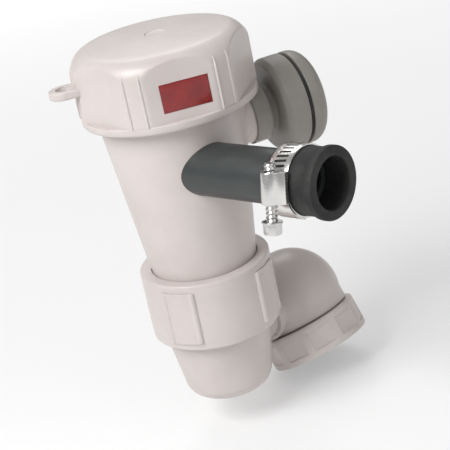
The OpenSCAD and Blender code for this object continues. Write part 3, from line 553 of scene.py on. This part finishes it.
# Wet end inside the body: the volute casing, the bulkhead and its screws over it, and the impeller of
# black nylon on the motor's shaft, held by a brass nut. The seals are rubber.
black_plastic = moulded_plastic("black_plastic", (0.046, 0.052, 0.051), (0.032, 0.036, 0.036), (0.28, 0.42))
brass = worked_steel("brass", (0.80, 0.58, 0.24), (0.66, 0.47, 0.18), (0.24, 0.38))
dress(light_plastic, "volute_casing", "bulkhead")
dress(black_plastic, "impeller")
dress(brass, "impeller_nut", "terminal_screws")
dress(stainless, "bulkhead_screws", "motor_screws")
dress(rubber, "casing_o_ring", "shaft_seal", "cap_seal", "spigot_gasket", "terminal_seal", "union_gasket",
      "gland_bush")


# Motor: a drawn and plated steel can with an end bell, two ferrite magnets, a laminated armature with
# enamelled copper coils, a copper commutator and two carbon brushes in a plastic holder.
plated_steel = worked_steel("plated_steel", (0.50, 0.50, 0.52), (0.40, 0.40, 0.42), (0.30, 0.45),
                            (1, 1, 6), 500)
ground_steel = worked_steel("ground_steel", (0.68, 0.68, 0.69), (0.58, 0.58, 0.60), (0.14, 0.24),
                            (1, 1, 18), 900)
dress(plated_steel, "motor_can", "motor_end_bell", "armature")
dress(ground_steel, "motor_shaft", "upper_bearing", "lower_bearing")


def sintered(name, tone, shade, rough):
    """Pressed and fired powder: dark, dull and faintly speckled."""
    material, tree, shader, where = new_material(name)
    specks = noise(tree, where, 1300, 4, 0.7)
    varied(tree, shader, "Base Color", specks, shade, tone, 0.4, 0.6)
    varied(tree, shader, "Roughness", specks, rough - 0.1, rough + 0.1)
    bumped(tree, shader, [(specks, 0.25, 0.1)])
    return material


def wound_wire(name):
    """Enamelled copper wire laid side by side, with a thin varnish over it, and painted shade in the grooves
    between turns.
    """
    material, tree, shader, where = new_material(name)
    turns = tree.nodes.new("ShaderNodeTexWave")
    turns.wave_type, turns.rings_direction = "RINGS", "Z"
    turns.inputs["Scale"].default_value = 420
    turns.inputs["Distortion"].default_value = 0.6
    tree.links.new(where, turns.inputs["Vector"])
    # Colour from the turns' waves: copper on the wires and dark brown in the grooves between them, which is
    # painted shade.
    varied(tree, shader, "Base Color", turns.outputs["Fac"], (0.30, 0.11, 0.045), (0.72, 0.33, 0.16),
           0.2, 0.8)
    bumped(tree, shader, [(turns.outputs["Fac"], 0.5, 0.3)])
    shader.inputs["Metallic"].default_value = 0.7
    shader.inputs["Roughness"].default_value = 0.32
    shader.inputs["Coat Weight"].default_value = 0.6
    return material


dress(sintered("ferrite", (0.075, 0.075, 0.08), (0.035, 0.035, 0.04), 0.6), "field_magnets")
dress(sintered("carbon", (0.045, 0.045, 0.045), (0.02, 0.02, 0.02), 0.5), "carbon_brushes")
dress(wound_wire("wound_copper"), "coil_heads")
dress(worked_steel("turned_copper", (0.80, 0.42, 0.26), (0.62, 0.30, 0.17), (0.2, 0.34), (1, 1, 20), 600),
      "commutator")
dress(dark_plastic, "brush_holder")


# Outlet spigot: a black nylon pipe through the side of the body, with a shoulder and a barbed tail for
# the cuff. Its inner end is cut round to seat on the volute.
outlet_reach, spigot_from, spigot_r, spigot_bore = 78.0, 8.0, 13.5, (9.0, 5.0, 100.0)
tail_r, tail_end, barb_count, barb_l, barb_h, barb_gap = 12.9, 92.0, 3, 4.55, 0.7, 0.05
nose, seat, shoulder_seat = (10.9, 18.0, 50.0), (28.63, 100.0, 170.0), (32.2, 100.0, 170.0)
barbs = []
for k in range(barb_count):
    start = outlet_reach + k * (tail_end - outlet_reach) / barb_count
    barbs += [(tail_r, start + barb_gap, 0.15), (tail_r - barb_h, start + barb_l, 0.1)]
spigot_outline = softened(
    [(0, spigot_from, 0), (spigot_r, spigot_from, 0), (spigot_r, outlet_reach, 0.7)]
    + barbs + [(tail_r - 0.8, tail_end, 0.3), (0, tail_end, 0)])
spigot = as_object("outlet_pipe", turned(spigot_outline, OUTLET, 160))
cut_and_joined(spigot, [], [straight_bar(*shoulder_seat, PUMP, 160)])
cut_and_joined(spigot, [bar(*nose, OUTLET)],
               [straight_bar(*seat, PUMP, 160), bar(*spigot_bore, OUTLET)])
settle(smooth(spigot), black_plastic, "black_plastic", "pump", "outlet_spigot")


# Rubber cuff: the moulded end of the delivery hose, pushed over the spigot's barbs, with a thicker lip
# at its mouth. The band presses a shallow waist into it.
cuff_from, cuff_end, cuff_r, hose_r, socket_end, socket_gap = 78.3, 106.3, 16.3, 12.5, 92.3, 0.1
waist_from, waist_to, waist_depth, waist_slope = 80.7, 91.9, 0.1, (0.8, 1.0)
cuff_lip, lip_root, lip_full = 1.2, 100.3, 102.9
cuff_outline = softened(
    [(cuff_r, cuff_from, 0.7), (cuff_r, waist_from - waist_slope[0], 0.3),
     (cuff_r - waist_depth, waist_from, 0.3), (cuff_r - waist_depth, waist_to, 0.3),
     (cuff_r, waist_to + waist_slope[1], 0.4), (cuff_r, lip_root, 1.5), (cuff_r + cuff_lip, lip_full, 0.9),
     (cuff_r + cuff_lip, cuff_end, 0.9), (hose_r, cuff_end, 0.9), (hose_r, socket_end, 0.2),
     (tail_r + socket_gap, socket_end, 0), (tail_r + socket_gap, cuff_from, 0.4)], 5)
cuff = as_object("delivery_cuff", turned(cuff_outline, OUTLET, 160))
settle(smooth(cuff), rubber, "rubber", "pump", "hose_cuff")


# Worm clamp: a stainless band with slanted slots, its loose end lapped over it, a pressed housing and a
# screw with a slotted hexagon head. The screw's thread bites in the slots.
clamp_turn, band_from = 12, 80.3
band_in, band_out, band_w, band_t = 16.4, 17.3, 12.0, 0.9
slot_w, slot_l, slot_step, slot_slant, lap_from, lap_span = 1.3, 6.6, 9.0, 8, 27.2, 50
house_l, house_side, house_top, house_foot, house_gap = 15.0, 1.4, 4.6, 0.6, 0.1
shoulder_in, shoulder_h, arch_turns = 0.6, 1.2, range(165, 14, -10)
screw_at, screw_out, screw_way = 20.9, 4.0, (3.05, 0.0, 24.0)
CLAMP = OUTLET @ moved(0, 0, band_from) @ rotated(270 - clamp_turn, "Z")
stamped = worked_steel("stamped_stainless", (0.80, 0.79, 0.77), (0.68, 0.675, 0.665), (0.16, 0.30),
                       (1, 1, 10), 800)
drawn = worked_steel("drawn_stainless", (0.72, 0.71, 0.70), (0.56, 0.555, 0.55), (0.2, 0.34),
                     (6, 1, 1), 600)


def block(size, centre, ease=0.0, turn=None):
    """A block of the given size in millimetres, with its edges rounded by ease."""
    shape = bmesh.new()
    bmesh.ops.create_cube(shape, size=1.0)
    bmesh.ops.scale(shape, vec=Vector(size) * MM, verts=shape.verts)
    if ease:
        bmesh.ops.bevel(shape, geom=shape.edges[:], offset=ease * MM, segments=3, profile=0.5,
                        affect="EDGES")
    if turn:
        shape.transform(turn)
    return finished_mesh(shape, Matrix.Translation(Vector(centre) * MM))


band_outline = softened(
    [(band_in, 0, 0.15), (band_out, 0, 0.3), (band_out, band_w, 0.3), (band_in, band_w, 0.15)], 2)
band = as_object("clamp_strap", turned(band_outline, Matrix(), 216))
first_slot = lap_from + lap_span + slot_step
slot_count = int((360 - lap_from - first_slot) // slot_step) + 1
slot = block((3, slot_w, slot_l), ((band_in + band_out) / 2, 0, band_w / 2), 0.3, rotated(slot_slant, "X"))
slots = copies_round(slot, Matrix(), stamped, 1, slot_count, first_slot, slot_step)
lap = pad(band_out, band_out + band_t, 0, band_w, lap_span, 24)
lap.transform(rotated(lap_from, "Z"))
cut_and_joined(band, [lap], [slots])
settle(eased_edges(band, 0.15, 40, 1), stamped, "stainless", "pump", "clamp_band", place=CLAMP)

tunnel = [(-house_side, band_out - house_foot), (-house_side, screw_at - shoulder_h), (shoulder_in, screw_at)]
tunnel += [(band_w / 2 + house_top * cos(radians(a)), screw_at + house_top * sin(radians(a)))
           for a in arch_turns]
tunnel += [(band_w - shoulder_in, screw_at), (band_w + house_side, screw_at - shoulder_h),
           (band_w + house_side, band_out - house_foot)]
shape = bmesh.new()
ends = [[shape.verts.new((x * MM, y * MM, z * MM)) for z, x in tunnel] for y in (-house_l / 2, house_l / 2)]
shape.faces.new(ends[0])
shape.faces.new(ends[1])
walled(shape, ends)
housing = as_object("clamp_worm_housing", finished_mesh(shape, Matrix()))
SCREW = moved(screw_at, -(house_l / 2 + screw_out), band_w / 2) @ rotated(-90, "X")
cut_and_joined(housing, [], [bar(band_out + house_gap, -5, band_w + 5, Matrix(), 160),
                             bar(*screw_way, SCREW, 48)])
settle(eased_edges(housing, 0.45, 30, 3), stamped, "stainless", "pump", "clamp_housing", place=CLAMP)


def crowned_hexagon(corner_r, low, high, tip, foot=0.0):
    """A hexagon along Z with its corners turned down at the top, and at the foot where asked."""
    below, beyond, foot_spread, crown_h, crown_in = 0.1, 0.2, 1.8, 1.0, 0.5
    hexagon = as_object("hexagon", straight_bar(corner_r, low, high, Matrix(), 6))
    crown = [(0, low - below, 0), (corner_r - foot * foot_spread, low - below, 0),
             (corner_r + beyond, low + foot + below, 0), (corner_r + beyond, high - crown_h, 0),
             (corner_r - crown_in, high, tip), (0, high, 0)]
    crowned = as_object("crown", turned(softened(crown), Matrix(), 64))
    trim = hexagon.modifiers.new("Crown", "BOOLEAN")
    trim.operation, trim.solver, trim.object = "INTERSECT", "EXACT", crowned
    evaluated(hexagon)
    bpy.data.objects.remove(crowned)
    return taken(hexagon)


worm_r, worm_depth, worm_pitch, worm_start, shank_l = 2.98, 0.6, 2.0, 1.5, 27.0
washer_r, washer_top, washer_crown, head_r, head_from, head_end = 4.9, 28.2, 0.1, 4.4, 28.1, 33.2
driver_slot, driver_slot_at = (10.0, 1.2, 1.8), 32.4
around, along = 40, 216
shape = bmesh.new()
rows = []
for i in range(along + 1):
    z = shank_l * i / along
    row = []
    for k in range(around):
        wave = (z / worm_pitch - k / around) % 1.0
        fade = min(1.0, z / worm_start)
        r = worm_r - worm_depth * (1 - fade * (1 - abs(2 * wave - 1) ** 0.8))
        row.append(corner(shape, r, 2 * pi * k / around, z))
    rows.append(row)
walled(shape, rows, (0, -1))
screw = as_object("clamp_worm_screw", finished_mesh(shape, Matrix()))
washer = turned(softened([(0, shank_l - washer_crown, 0), (washer_r, shank_l, 0.3),
                          (washer_r, washer_top, 0.4), (0, washer_top + washer_crown, 0)]), Matrix(), 64)
head = trimmed(crowned_hexagon(head_r, head_from, head_end, 0.3), block(driver_slot, (0, 0, driver_slot_at)))
cut_and_joined(screw, [washer, head])
settle(eased_edges(screw, 0.18, 38), drawn, "stainless", "clamp_screw", "clamp_screw", place=CLAMP @ SCREW)


# Suction elbow: a fat round bend moulded in light plastic, pushed over the bowl's stub with an O-ring,
# with a flanged leg that hangs in the union nut.
elbow_reach, union_swing = 62.0, 25
elbow_r, elbow_middle_r, elbow_hollow_r = 27.0, 25.2, 23.4
cheek_r, cheek_l, cheek_turn, hollow_turn = 26.0, 14.8, 15.6, 45.1
leg_r, leg_bore_r, flange_r, z_flange, z_seat = 20.1, 16.5, 22.1, 18.6, 21.6
pole, socket, socket_bore = 89, (14.4, 33.0, 44.0), (12.1, 30.0, 50.0)
UNION = PUMP @ moved(0, elbow_reach, stub_z) @ rotated(180 - union_swing, "Y")
elbow_outline = softened(
    [(0, -elbow_r, 0)] + arc_corners(0, 0, elbow_r, -pole, cheek_turn, 34)
    + [(cheek_r, cheek_l, 1.2), (leg_r, cheek_l, 0.3), (leg_r, z_flange, 0.2), (flange_r, z_flange, 0.3),
       (flange_r, z_seat, 0.3), (leg_bore_r, z_seat, 0.4)]
    + arc_corners(0, 0, elbow_hollow_r, hollow_turn, -pole, 30) + [(0, -elbow_hollow_r, 0)])
elbow = as_object("suction_bend", turned(elbow_outline, UNION, 160))
elbow_middle = turned([(0, -elbow_middle_r)] + arc_corners(0, 0, elbow_middle_r, -pole, pole, 40)
                      + [(0, elbow_middle_r)], UNION, 160)
cut_and_joined(elbow, [trimmed(bar(*socket, stub_way, ease=1.0), elbow_middle)],
               [bar(*socket_bore, stub_way)])
settle(smooth(elbow), light_plastic, "light_plastic", "pump", "suction_elbow")


# Union nut: a coarse threaded nut in light plastic that turns on the elbow's flange and screws on to the
# tank fitting. Ten recessed panels give the grip.
union_r, union_h, union_low, lip_h, lip_r = 29.0, 18.0, 15.2, 3.0, leg_r + 0.4
union_thread_r, thread_from, relief_r = 22.5, 24.5, 23.3
groove_r, groove_at, groove_step = 23.1, (31.0, 28.0), 0.6
panel_depth, panel_edge, panel_rib, panels = 1.2, 3.5, 4.4, 10
union_top = union_low + union_h
grooves = []
for z in groove_at:
    grooves += [(union_thread_r, z + groove_step, 0), (groove_r, z, 0), (groove_r, z - groove_step, 0),
                (union_thread_r, z - 2 * groove_step, 0)]
union_outline = softened(
    [(lip_r, union_low, 0.3), (union_r, union_low, 1.2), (union_r, union_top, 1.2),
     (union_thread_r, union_top, 0.3)] + grooves
    + [(union_thread_r, thread_from, 0), (relief_r, thread_from, 0), (relief_r, union_low + lip_h, 0.3),
       (lip_r, union_low + lip_h, 0.3)], 5)
union_nut = as_object("union_nut_moulding", turned(union_outline, Matrix(), 200))
panel_w = 2 * pi * union_r / panels - panel_rib
panel = block((2 * panel_depth, panel_w, union_h - 2 * panel_edge),
              (union_r, 0, union_low + union_h / 2), 0.55)
cut_and_joined(union_nut, [], [copies_round(panel, Matrix(), light_plastic, panels)])
settle(eased_edges(union_nut, 0.35, 34), light_plastic, "light_plastic", "union_nut", "union_nut",
       place=UNION)


# Terminal box: a round two-part box on a hollow neck that is bonded into the body. Its dark grey-brown is
# partly the plastic's own colour and partly painted shade. The cover screws over the housing's spigot and
# squeezes an O-ring.
term_r, term_wall, term_start, box_l, cover_lap = 25.0, 2.8, 52.0, 12.5, 4.0
term_neck_r, term_neck_bore, term_neck_from, gland_way = 12.0, 7.0, 34.6, (5.7, 10.0, 40.0)
sleeve_from, sleeve_gap, sleeve_out, sleeve_draft, sleeve_root = 38.2, 0.1, 1.0, 0.1, 0.5
sleeve_seat, sleeve_edge, sleeve_top = boss_reach + 0.2, boss_reach + 1.2, boss_reach + 2.2
# Dark grey-brown tone for the box, its neck sleeve and its cover: the plastic's colour with painted shade in
# it.
grey_plastic_and_shade = moulded_plastic("grey_plastic_and_shade", (0.30, 0.283, 0.26), (0.245, 0.23, 0.21), (0.36, 0.52))
box_spigot_r, room_r, box_end = term_r - term_wall, term_r - 2 * term_wall, term_start + box_l
box_outline = softened(
    [(term_neck_bore, term_neck_from, 0.2), (term_neck_r, term_neck_from, 0.2),
     (term_neck_r, term_start, 1.6), (box_spigot_r, term_start, 1.0), (term_r, term_start + term_wall, 1.0),
     (term_r, box_end, 0.5), (box_spigot_r, box_end, 0.2), (box_spigot_r, box_end + cover_lap, 0.4),
     (room_r, box_end + cover_lap, 0.4), (room_r, term_start + term_wall, 0.8),
     (term_neck_bore, term_start + term_wall, 0.5)], 5)
box = as_object("terminal_box", turned(box_outline, TERMINAL, 160))
GLAND = TERMINAL @ moved(0, 0, term_start + box_l / 2) @ rotated(-90, "X")
# The sleeve covers the body's light boss with the box's dark tone, so it paints shade on the neck.
sleeve = turned(softened(
    [(boss_r + sleeve_gap, sleeve_from, 0.2), (boss_r + sleeve_out, sleeve_from, 0.3),
     (boss_r + sleeve_out - sleeve_draft, sleeve_edge, 0.8), (term_neck_r - sleeve_root, sleeve_top, 0.2),
     (term_neck_r - sleeve_root, sleeve_seat, 0), (boss_r + sleeve_gap, sleeve_seat, 0)]), TERMINAL, 120)
cut_and_joined(box, [sleeve], [bar(*gland_way, GLAND, 64)])
settle(smooth(box), grey_plastic_and_shade, "dark_plastic", "pump", "terminal_housing")

cover_low, cover_high, cover_round, cover_bore_r = 66.6, 76.3, 7.0, box_spigot_r + 0.4
cover_outline = softened(
    [(cover_bore_r, cover_low, 0.3), (term_r, cover_low, 0.6)]
    + arc_corners(term_r - cover_round, cover_high - cover_round, cover_round, 0, 90, 10)
    + [(0, cover_high, 0), (0, cover_high - term_wall, 0), (room_r, cover_high - term_wall, 1.5),
       (room_r, cover_low + cover_lap, 0), (cover_bore_r, cover_low + cover_lap, 0)])
# The cover takes the same dark tone, with its painted shade.
cover = as_object("terminal_lid", turned(cover_outline, TERMINAL, 160))
settle(smooth(cover), grey_plastic_and_shade, "dark_plastic", "terminal_cover", "terminal_cover")
dress(light_plastic, "terminal_block")


# Cable gland: a black nylon body through the side of the box, and a domed hexagon nut that squeezes a
# rubber bush on the cable. No cable comes with the pump.
tube_r, hexagon_r, gland_bore_r, cable_r, dome_r = 5.6, 8.0, 4.2, 3.0, 6.8
gland_from, hexagon_at, dome_nut_at, thread_end, dome_nut_end = 19.4, 25.4, 29.4, 37.0, 41.4
gland_winds, wind_step, wind_depth, wind_flank, wind_top, wind_under = 6, 1.2, 0.5, 0.5, 0.7, 0.02
hexagon_foot, way_gap, mouth_h, mouth_flare = 0.4, 0.4, 0.8, 0.8
nut_hexagon_l, dome_root, dome_straight, dome_bend = 6.0, 4.0, 6.5, 9.5
winds = [(tube_r, gland_from, 0.4), (tube_r, dome_nut_at, 0)]
for k in range(gland_winds):
    z = dome_nut_at + way_gap + wind_step * k
    winds += [(tube_r - wind_depth, z, 0), (tube_r - wind_under, z + wind_flank, 0.1),
              (tube_r - wind_under, z + wind_top, 0.1)]
gland = as_object("cable_gland_body", turned(softened(
    [(gland_bore_r, gland_from, 0.3)] + winds
    + [(tube_r - 0.4, thread_end, 0.2), (gland_bore_r, thread_end, 0.2)]), Matrix(), 72))
gland_hexagon = crowned_hexagon(hexagon_r, hexagon_at, dome_nut_at - 0.05, 0.2, hexagon_foot)
ring_way = straight_bar(gland_bore_r + way_gap, hexagon_at - 1, dome_nut_at + 1, Matrix(), 72)
cut_and_joined(gland, [trimmed(gland_hexagon, ring_way)])
settle(eased_edges(gland, 0.2, 40), black_plastic, "dark_plastic", "pump", "cable_gland", place=GLAND)

dome_nut = as_object("gland_dome_nut", crowned_hexagon(
    hexagon_r + 0.4, dome_nut_at, dome_nut_at + nut_hexagon_l, 0.5, hexagon_foot))
dome = turned(softened(
    [(0, dome_nut_at + dome_root, 0), (dome_r, dome_nut_at + dome_root, 0),
     (dome_r, dome_nut_at + dome_straight, 0.6), (dome_r - 0.5, dome_nut_at + dome_bend, 1.6),
     (tube_r, dome_nut_end, 1.2), (0, dome_nut_end, 0)], 6), Matrix(), 96)
nut_way = turned(softened(
    [(0, dome_nut_at - 1, 0), (tube_r + way_gap, dome_nut_at - 1, 0),
     (tube_r + way_gap, thread_end + way_gap, 0), (cable_r, thread_end + way_gap, 0),
     (cable_r, dome_nut_end - mouth_h, 0.3), (cable_r + mouth_flare, dome_nut_end + 0.1, 0),
     (0, dome_nut_end + 0.1, 0)]), Matrix(), 72)
cut_and_joined(dome_nut, [dome], [nut_way])
settle(eased_edges(dome_nut, 0.25, 36), black_plastic, "dark_plastic", "gland_nut", "gland_nut", place=GLAND)


# Screw cap: the wide light cap over the motor. Six flats leave arched faces under its domed top, a pair
# of ribs stands at each corner, a pocket takes the plate, and an eye at its side takes a lanyard.
cap_r, flat_at, cap_skirt_r, cap_in_r = 45.0, 41.6, 39.9, 34.9
cap_low, cap_high, cap_round, ledge_z, shoulder_z, cap_step_z = 161.0, 199.0, 10.0, 165.0, 187.4, 182.7
cap_flats, flat_turn, cap_blend, cap_top_t = 6, -35, 0.5, 3.5
window_w, window_h, window_t, window_side, window_low = 24.0, 14.0, 1.6, 2.0, 170.0


def flat_limit(a):
    """How far the nearest flat lies from the cap's axis in the direction a."""
    half = pi / cap_flats
    return flat_at / cos((a - radians(flat_turn) + half) % (2 * half) - half)


def soft_lesser(a, b, blend):
    """The lesser of two lengths, with the change from one to the other rounded over blend."""
    h = max(blend - abs(a - b), 0) / blend
    return min(a, b) - h * h * blend * 0.25


ledge_top, side_rows, round_rows, round_end, dome_rows, around = ledge_z + 0.25, 26, 24, 78, 9, 480
foot_round, ledge_groove = ((-1.0, 0.0), (-0.4, 0.25), (0.0, 0.9)), ((0.0, -0.3), (-0.25, -0.02), (0.0, 0.0))
cap_side = [(cap_r + out, cap_low + up) for out, up in foot_round]
cap_side += [(cap_r + out, ledge_z + up) for out, up in ledge_groove] + [(cap_r, ledge_top)]
for k in range(1, side_rows + 1):
    cap_side.append((cap_r, ledge_top + (shoulder_z - ledge_top) * k / side_rows))
for k in range(1, round_rows + 1):
    a = radians(round_end * k / round_rows)
    cap_side.append((cap_r - cap_round + cap_round * cos(a), shoulder_z + cap_round * sin(a)))
edge_r, edge_z = cap_side[-1]
for k in range(1, dome_rows):
    r = edge_r * (1 - k / dome_rows)
    cap_side.append((r, cap_high - (cap_high - edge_z) * (r / edge_r) ** 2))
cap_turns = [radians(flat_turn + 360 * k / around) for k in range(around)]
cap_room_top = cap_high - cap_top_t
shape = bmesh.new()
rows = []
for r, z in cap_side:
    row = []
    for a in cap_turns:
        reach = soft_lesser(r, flat_limit(a), cap_blend) if z >= ledge_z else r
        row.append(corner(shape, reach, a, z))
    rows.append(row)
for r, z in ((cap_skirt_r, cap_low), (cap_skirt_r, cap_step_z), (cap_in_r, cap_step_z),
             (cap_in_r, cap_room_top)):
    rows.insert(0, [corner(shape, r, a, z) for a in cap_turns])
walled(shape, rows)
for row, z in ((rows[0], cap_room_top), (rows[-1], cap_high)):
    tip = corner(shape, 0, 0, z)
    for k in range(around):
        shape.faces.new((row[k], row[(k + 1) % around], tip))
cap = as_object("screw_cap", finished_mesh(shape, Matrix()))

cap_rib_r, cap_rib_side, cap_rib_root = 1.7, 4.0, 5.0
cap_rib_half, cap_rib_at = 0.6 * cap_rib_r, cap_r - cap_rib_r + 0.25
height_reach_width = ((165.0, 0.35, 1.0), (186.0, 0.35, 1.0), (188.5, 0.2, 0.95), (190.5, -0.4, 0.9),
                      (192.5, -1.6, 0.85), (194.0, -3.2, 0.8))
shape = bmesh.new()
rows = []
for z, out, wide in height_reach_width:
    row = []
    for k in range(13):
        a = radians(-90 + 15 * k)
        row.append(shape.verts.new(((cap_rib_at + out + cap_rib_r * cos(a)) * MM,
                                    cap_rib_half * wide * sin(a) * MM, z * MM)))
    for side in (cap_rib_half, -cap_rib_half):
        row.append(shape.verts.new(((cap_r - cap_rib_root + out) * MM, side * MM, z * MM)))
    rows.append(row)
walled(shape, rows, (0, -1))
cap_rib = finished_mesh(shape, Matrix())
rib_turn = 2 * asin(cap_rib_side / (cap_r - cap_rib_r)) * 180 / pi
cap_ribs = copies_round(cap_rib, Matrix(), light_plastic, cap_flats, 2,
                        flat_turn + 180 / cap_flats - rib_turn / 2, rib_turn)

eye_turn, eye_r, eye_hole_r, eye_low, eye_t = 235, 8.0, 4.5, 179.0, 4.0
eye_reach, eye_root_r = cap_r + eye_hole_r + 0.4, cap_skirt_r + 1
eye_way = rotated(eye_turn, "Z")
eye_at = eye_way @ moved(eye_reach, 0, 0)
eye_plate = bar(eye_r, eye_low, eye_low + eye_t, eye_at, 64, 0.8)
eye_root = block((eye_reach - eye_root_r, 2 * eye_r, eye_t),
                 ((eye_reach + eye_root_r) / 2, 0, eye_low + eye_t / 2), 0.8)
eye_root.transform(eye_way)
pocket_gap, cap_gate_r, cap_gate_depth = 0.2, 5.0, 0.55
pocket = block((2 * window_t + pocket_gap, window_w + pocket_gap, window_h + pocket_gap),
               (flat_at, window_side, window_low + window_h / 2), 0.25)
pocket.transform(rotated(flat_turn, "Z"))
cap_gate = turned(softened(
    [(0, cap_high - cap_gate_depth, 0), (cap_gate_r, cap_high - cap_gate_depth, 0.5),
     (cap_gate_r + 1, cap_high + 1, 0), (0, cap_high + 1, 0)]), Matrix(), 72)
cut_and_joined(cap, [cap_ribs, eye_root, eye_plate],
               [bar(eye_hole_r, eye_low - over, eye_low + eye_t + over, eye_at, 64), pocket, cap_gate])
settle(smooth(cap, 36), light_plastic, "light_plastic", "cap", "motor_cap", place=PUMP)


# Plate in the cap: a flat glossy insert of dark red acrylic, moulded with eased edges and pressed into
# the pocket. It is left bare.
def glossy_insert(name, tone, shade):
    """Polished plastic under a thin clear coat, with faint clouding in its colour."""
    material, tree, shader, where = new_material(name)
    clouds = noise(tree, where, 120, 4, 0.6)
    fine = noise(tree, where, 1800, 2, 0.5)
    varied(tree, shader, "Base Color", clouds, shade, tone, 0.35, 0.65)
    varied(tree, shader, "Roughness", fine, 0.18, 0.28)
    bumped(tree, shader, [(fine, 0.05, 0.05)])
    shader.inputs["Coat Weight"].default_value = 0.25
    shader.inputs["Coat Roughness"].default_value = 0.08
    return material


red_insert = glossy_insert("red_insert", (0.25, 0.013, 0.012), (0.19, 0.009, 0.009))
plate = block((window_t, window_w, window_h),
              (flat_at - window_t / 2 + 0.1, window_side, window_low + window_h / 2), 0.3)
plate.transform(rotated(flat_turn, "Z"))
plate.transform(PUMP)
insert = as_object("cap_plate", plate)
settle(smooth(insert), red_insert, "red_insert", "cap", "cap_window")


# Plain pale floor under the pump, with three soft square lamps and an even white world round it, and a
# camera at the photograph's angle with its lean.
low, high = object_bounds()
centre = (low + high) / 2
floor_half, floor_gap = 6.0, 0.5 * MM
floor_mesh = bpy.data.meshes.new("floor")
floor_mesh.from_pydata([(x * floor_half, y * floor_half, 0) for x, y in ((-1, -1), (1, -1), (1, 1), (-1, 1))],
                       [], [(0, 1, 2, 3)])
floor_mesh.transform(Matrix.Translation((0, 0, low.z - floor_gap)))
floor = as_object("floor", floor_mesh)
paper, tree, shader, where = new_material("pale_floor")
varied(tree, shader, "Base Color", noise(tree, where, 3, 2), (0.86, 0.86, 0.86), (0.89, 0.89, 0.89))
shader.inputs["Roughness"].default_value = 0.9
shader.inputs["Specular IOR Level"].default_value = 0.1
glow = tree.nodes.new("ShaderNodeEmission")
glow.inputs["Color"].default_value = (1, 1, 1, 1)
glow.inputs["Strength"].default_value = 1.0
reach = tree.nodes.new("ShaderNodeVectorMath")
reach.operation = "LENGTH"
tree.links.new(where, reach.inputs[0])
far = ramp(tree, reach.outputs["Value"], 0.35, 1.0, 0.2, 1.1)
rays = tree.nodes.new("ShaderNodeLightPath")


def joined_by(tree, operation, first, second):
    """A sum or a product of two sockets, held between 0 and 1."""
    step = tree.nodes.new("ShaderNodeMath")
    step.operation, step.use_clamp = operation, True
    tree.links.new(first, step.inputs[0])
    tree.links.new(second, step.inputs[1])
    return step.outputs[0]


looks = joined_by(tree, "ADD", rays.outputs["Is Camera Ray"], rays.outputs["Is Glossy Ray"])
looks = joined_by(tree, "ADD", looks, rays.outputs["Is Transmission Ray"])
blend = tree.nodes.new("ShaderNodeMixShader")
tree.links.new(joined_by(tree, "MULTIPLY", looks, far), blend.inputs["Fac"])
tree.links.new(shader.outputs[0], blend.inputs[1])
tree.links.new(glow.outputs[0], blend.inputs[2])
tree.links.new(blend.outputs[0], tree.nodes["Material Output"].inputs["Surface"])
floor.data.materials.append(paper)

world = bpy.data.worlds.new("studio")
bpy.context.scene.world = world
world.use_nodes = True
sky = world.node_tree
back, seen = sky.nodes["Background"], sky.nodes.new("ShaderNodeBackground")
for shade, strength in ((back, 0.37), (seen, 1.0)):
    shade.inputs["Color"].default_value = (1, 1, 1, 1)
    shade.inputs["Strength"].default_value = strength
path = sky.nodes.new("ShaderNodeLightPath")
mix = sky.nodes.new("ShaderNodeMixShader")
looks = joined_by(sky, "ADD", path.outputs["Is Camera Ray"], path.outputs["Is Transmission Ray"])
sky.links.new(looks, mix.inputs["Fac"])
sky.links.new(back.outputs[0], mix.inputs[1])
sky.links.new(seen.outputs[0], mix.inputs[2])
sky.links.new(mix.outputs[0], sky.nodes["World Output"].inputs["Surface"])


def look_at(made, aim, azimuth, elevation, distance, lean=0):
    """Sets a lamp or a camera at a distance from its aim, in degrees round it and above it."""
    a, e = radians(azimuth), radians(elevation)
    away = Vector((sin(a) * cos(e), -cos(a) * cos(e), sin(e)))
    made.location = aim + away * distance
    made.rotation_mode = "QUATERNION"
    made.rotation_quaternion = ((-away).to_track_quat("-Z", "Y")
                                @ Matrix.Rotation(radians(lean), 3, "Z").to_quaternion())


lamps = (("key", -2, 44, 1.2, 0.6, 12.5), ("fill", 95, 35, 1.4, 1.0, 2.1), ("rim", 230, 45, 1.3, 0.6, 3))
for name, azimuth, elevation, distance, size, power in lamps:
    light = bpy.data.lights.new(name, "AREA")
    light.size, light.energy = size, power
    look_at(as_object(name, light), centre, azimuth, elevation, distance)

camera_turn, camera_tilt, camera_lean, camera_away, aim_left, aim_up = 45, 22, -12, 0.71, 0.022, 0.004
camera_data = bpy.data.cameras.new("camera")
camera_data.lens, camera_data.sensor_width = 110, 36
camera_data.clip_start, camera_data.clip_end = 0.01, 50
camera = as_object("camera", camera_data)
bpy.context.scene.camera = camera
sideways = Vector((cos(radians(camera_turn)), sin(radians(camera_turn)), 0))
look_at(camera, centre - sideways * aim_left + Vector((0, 0, aim_up)), camera_turn, camera_tilt,
        camera_away, camera_lean)
bpy.context.scene.view_settings.view_transform = "Standard"
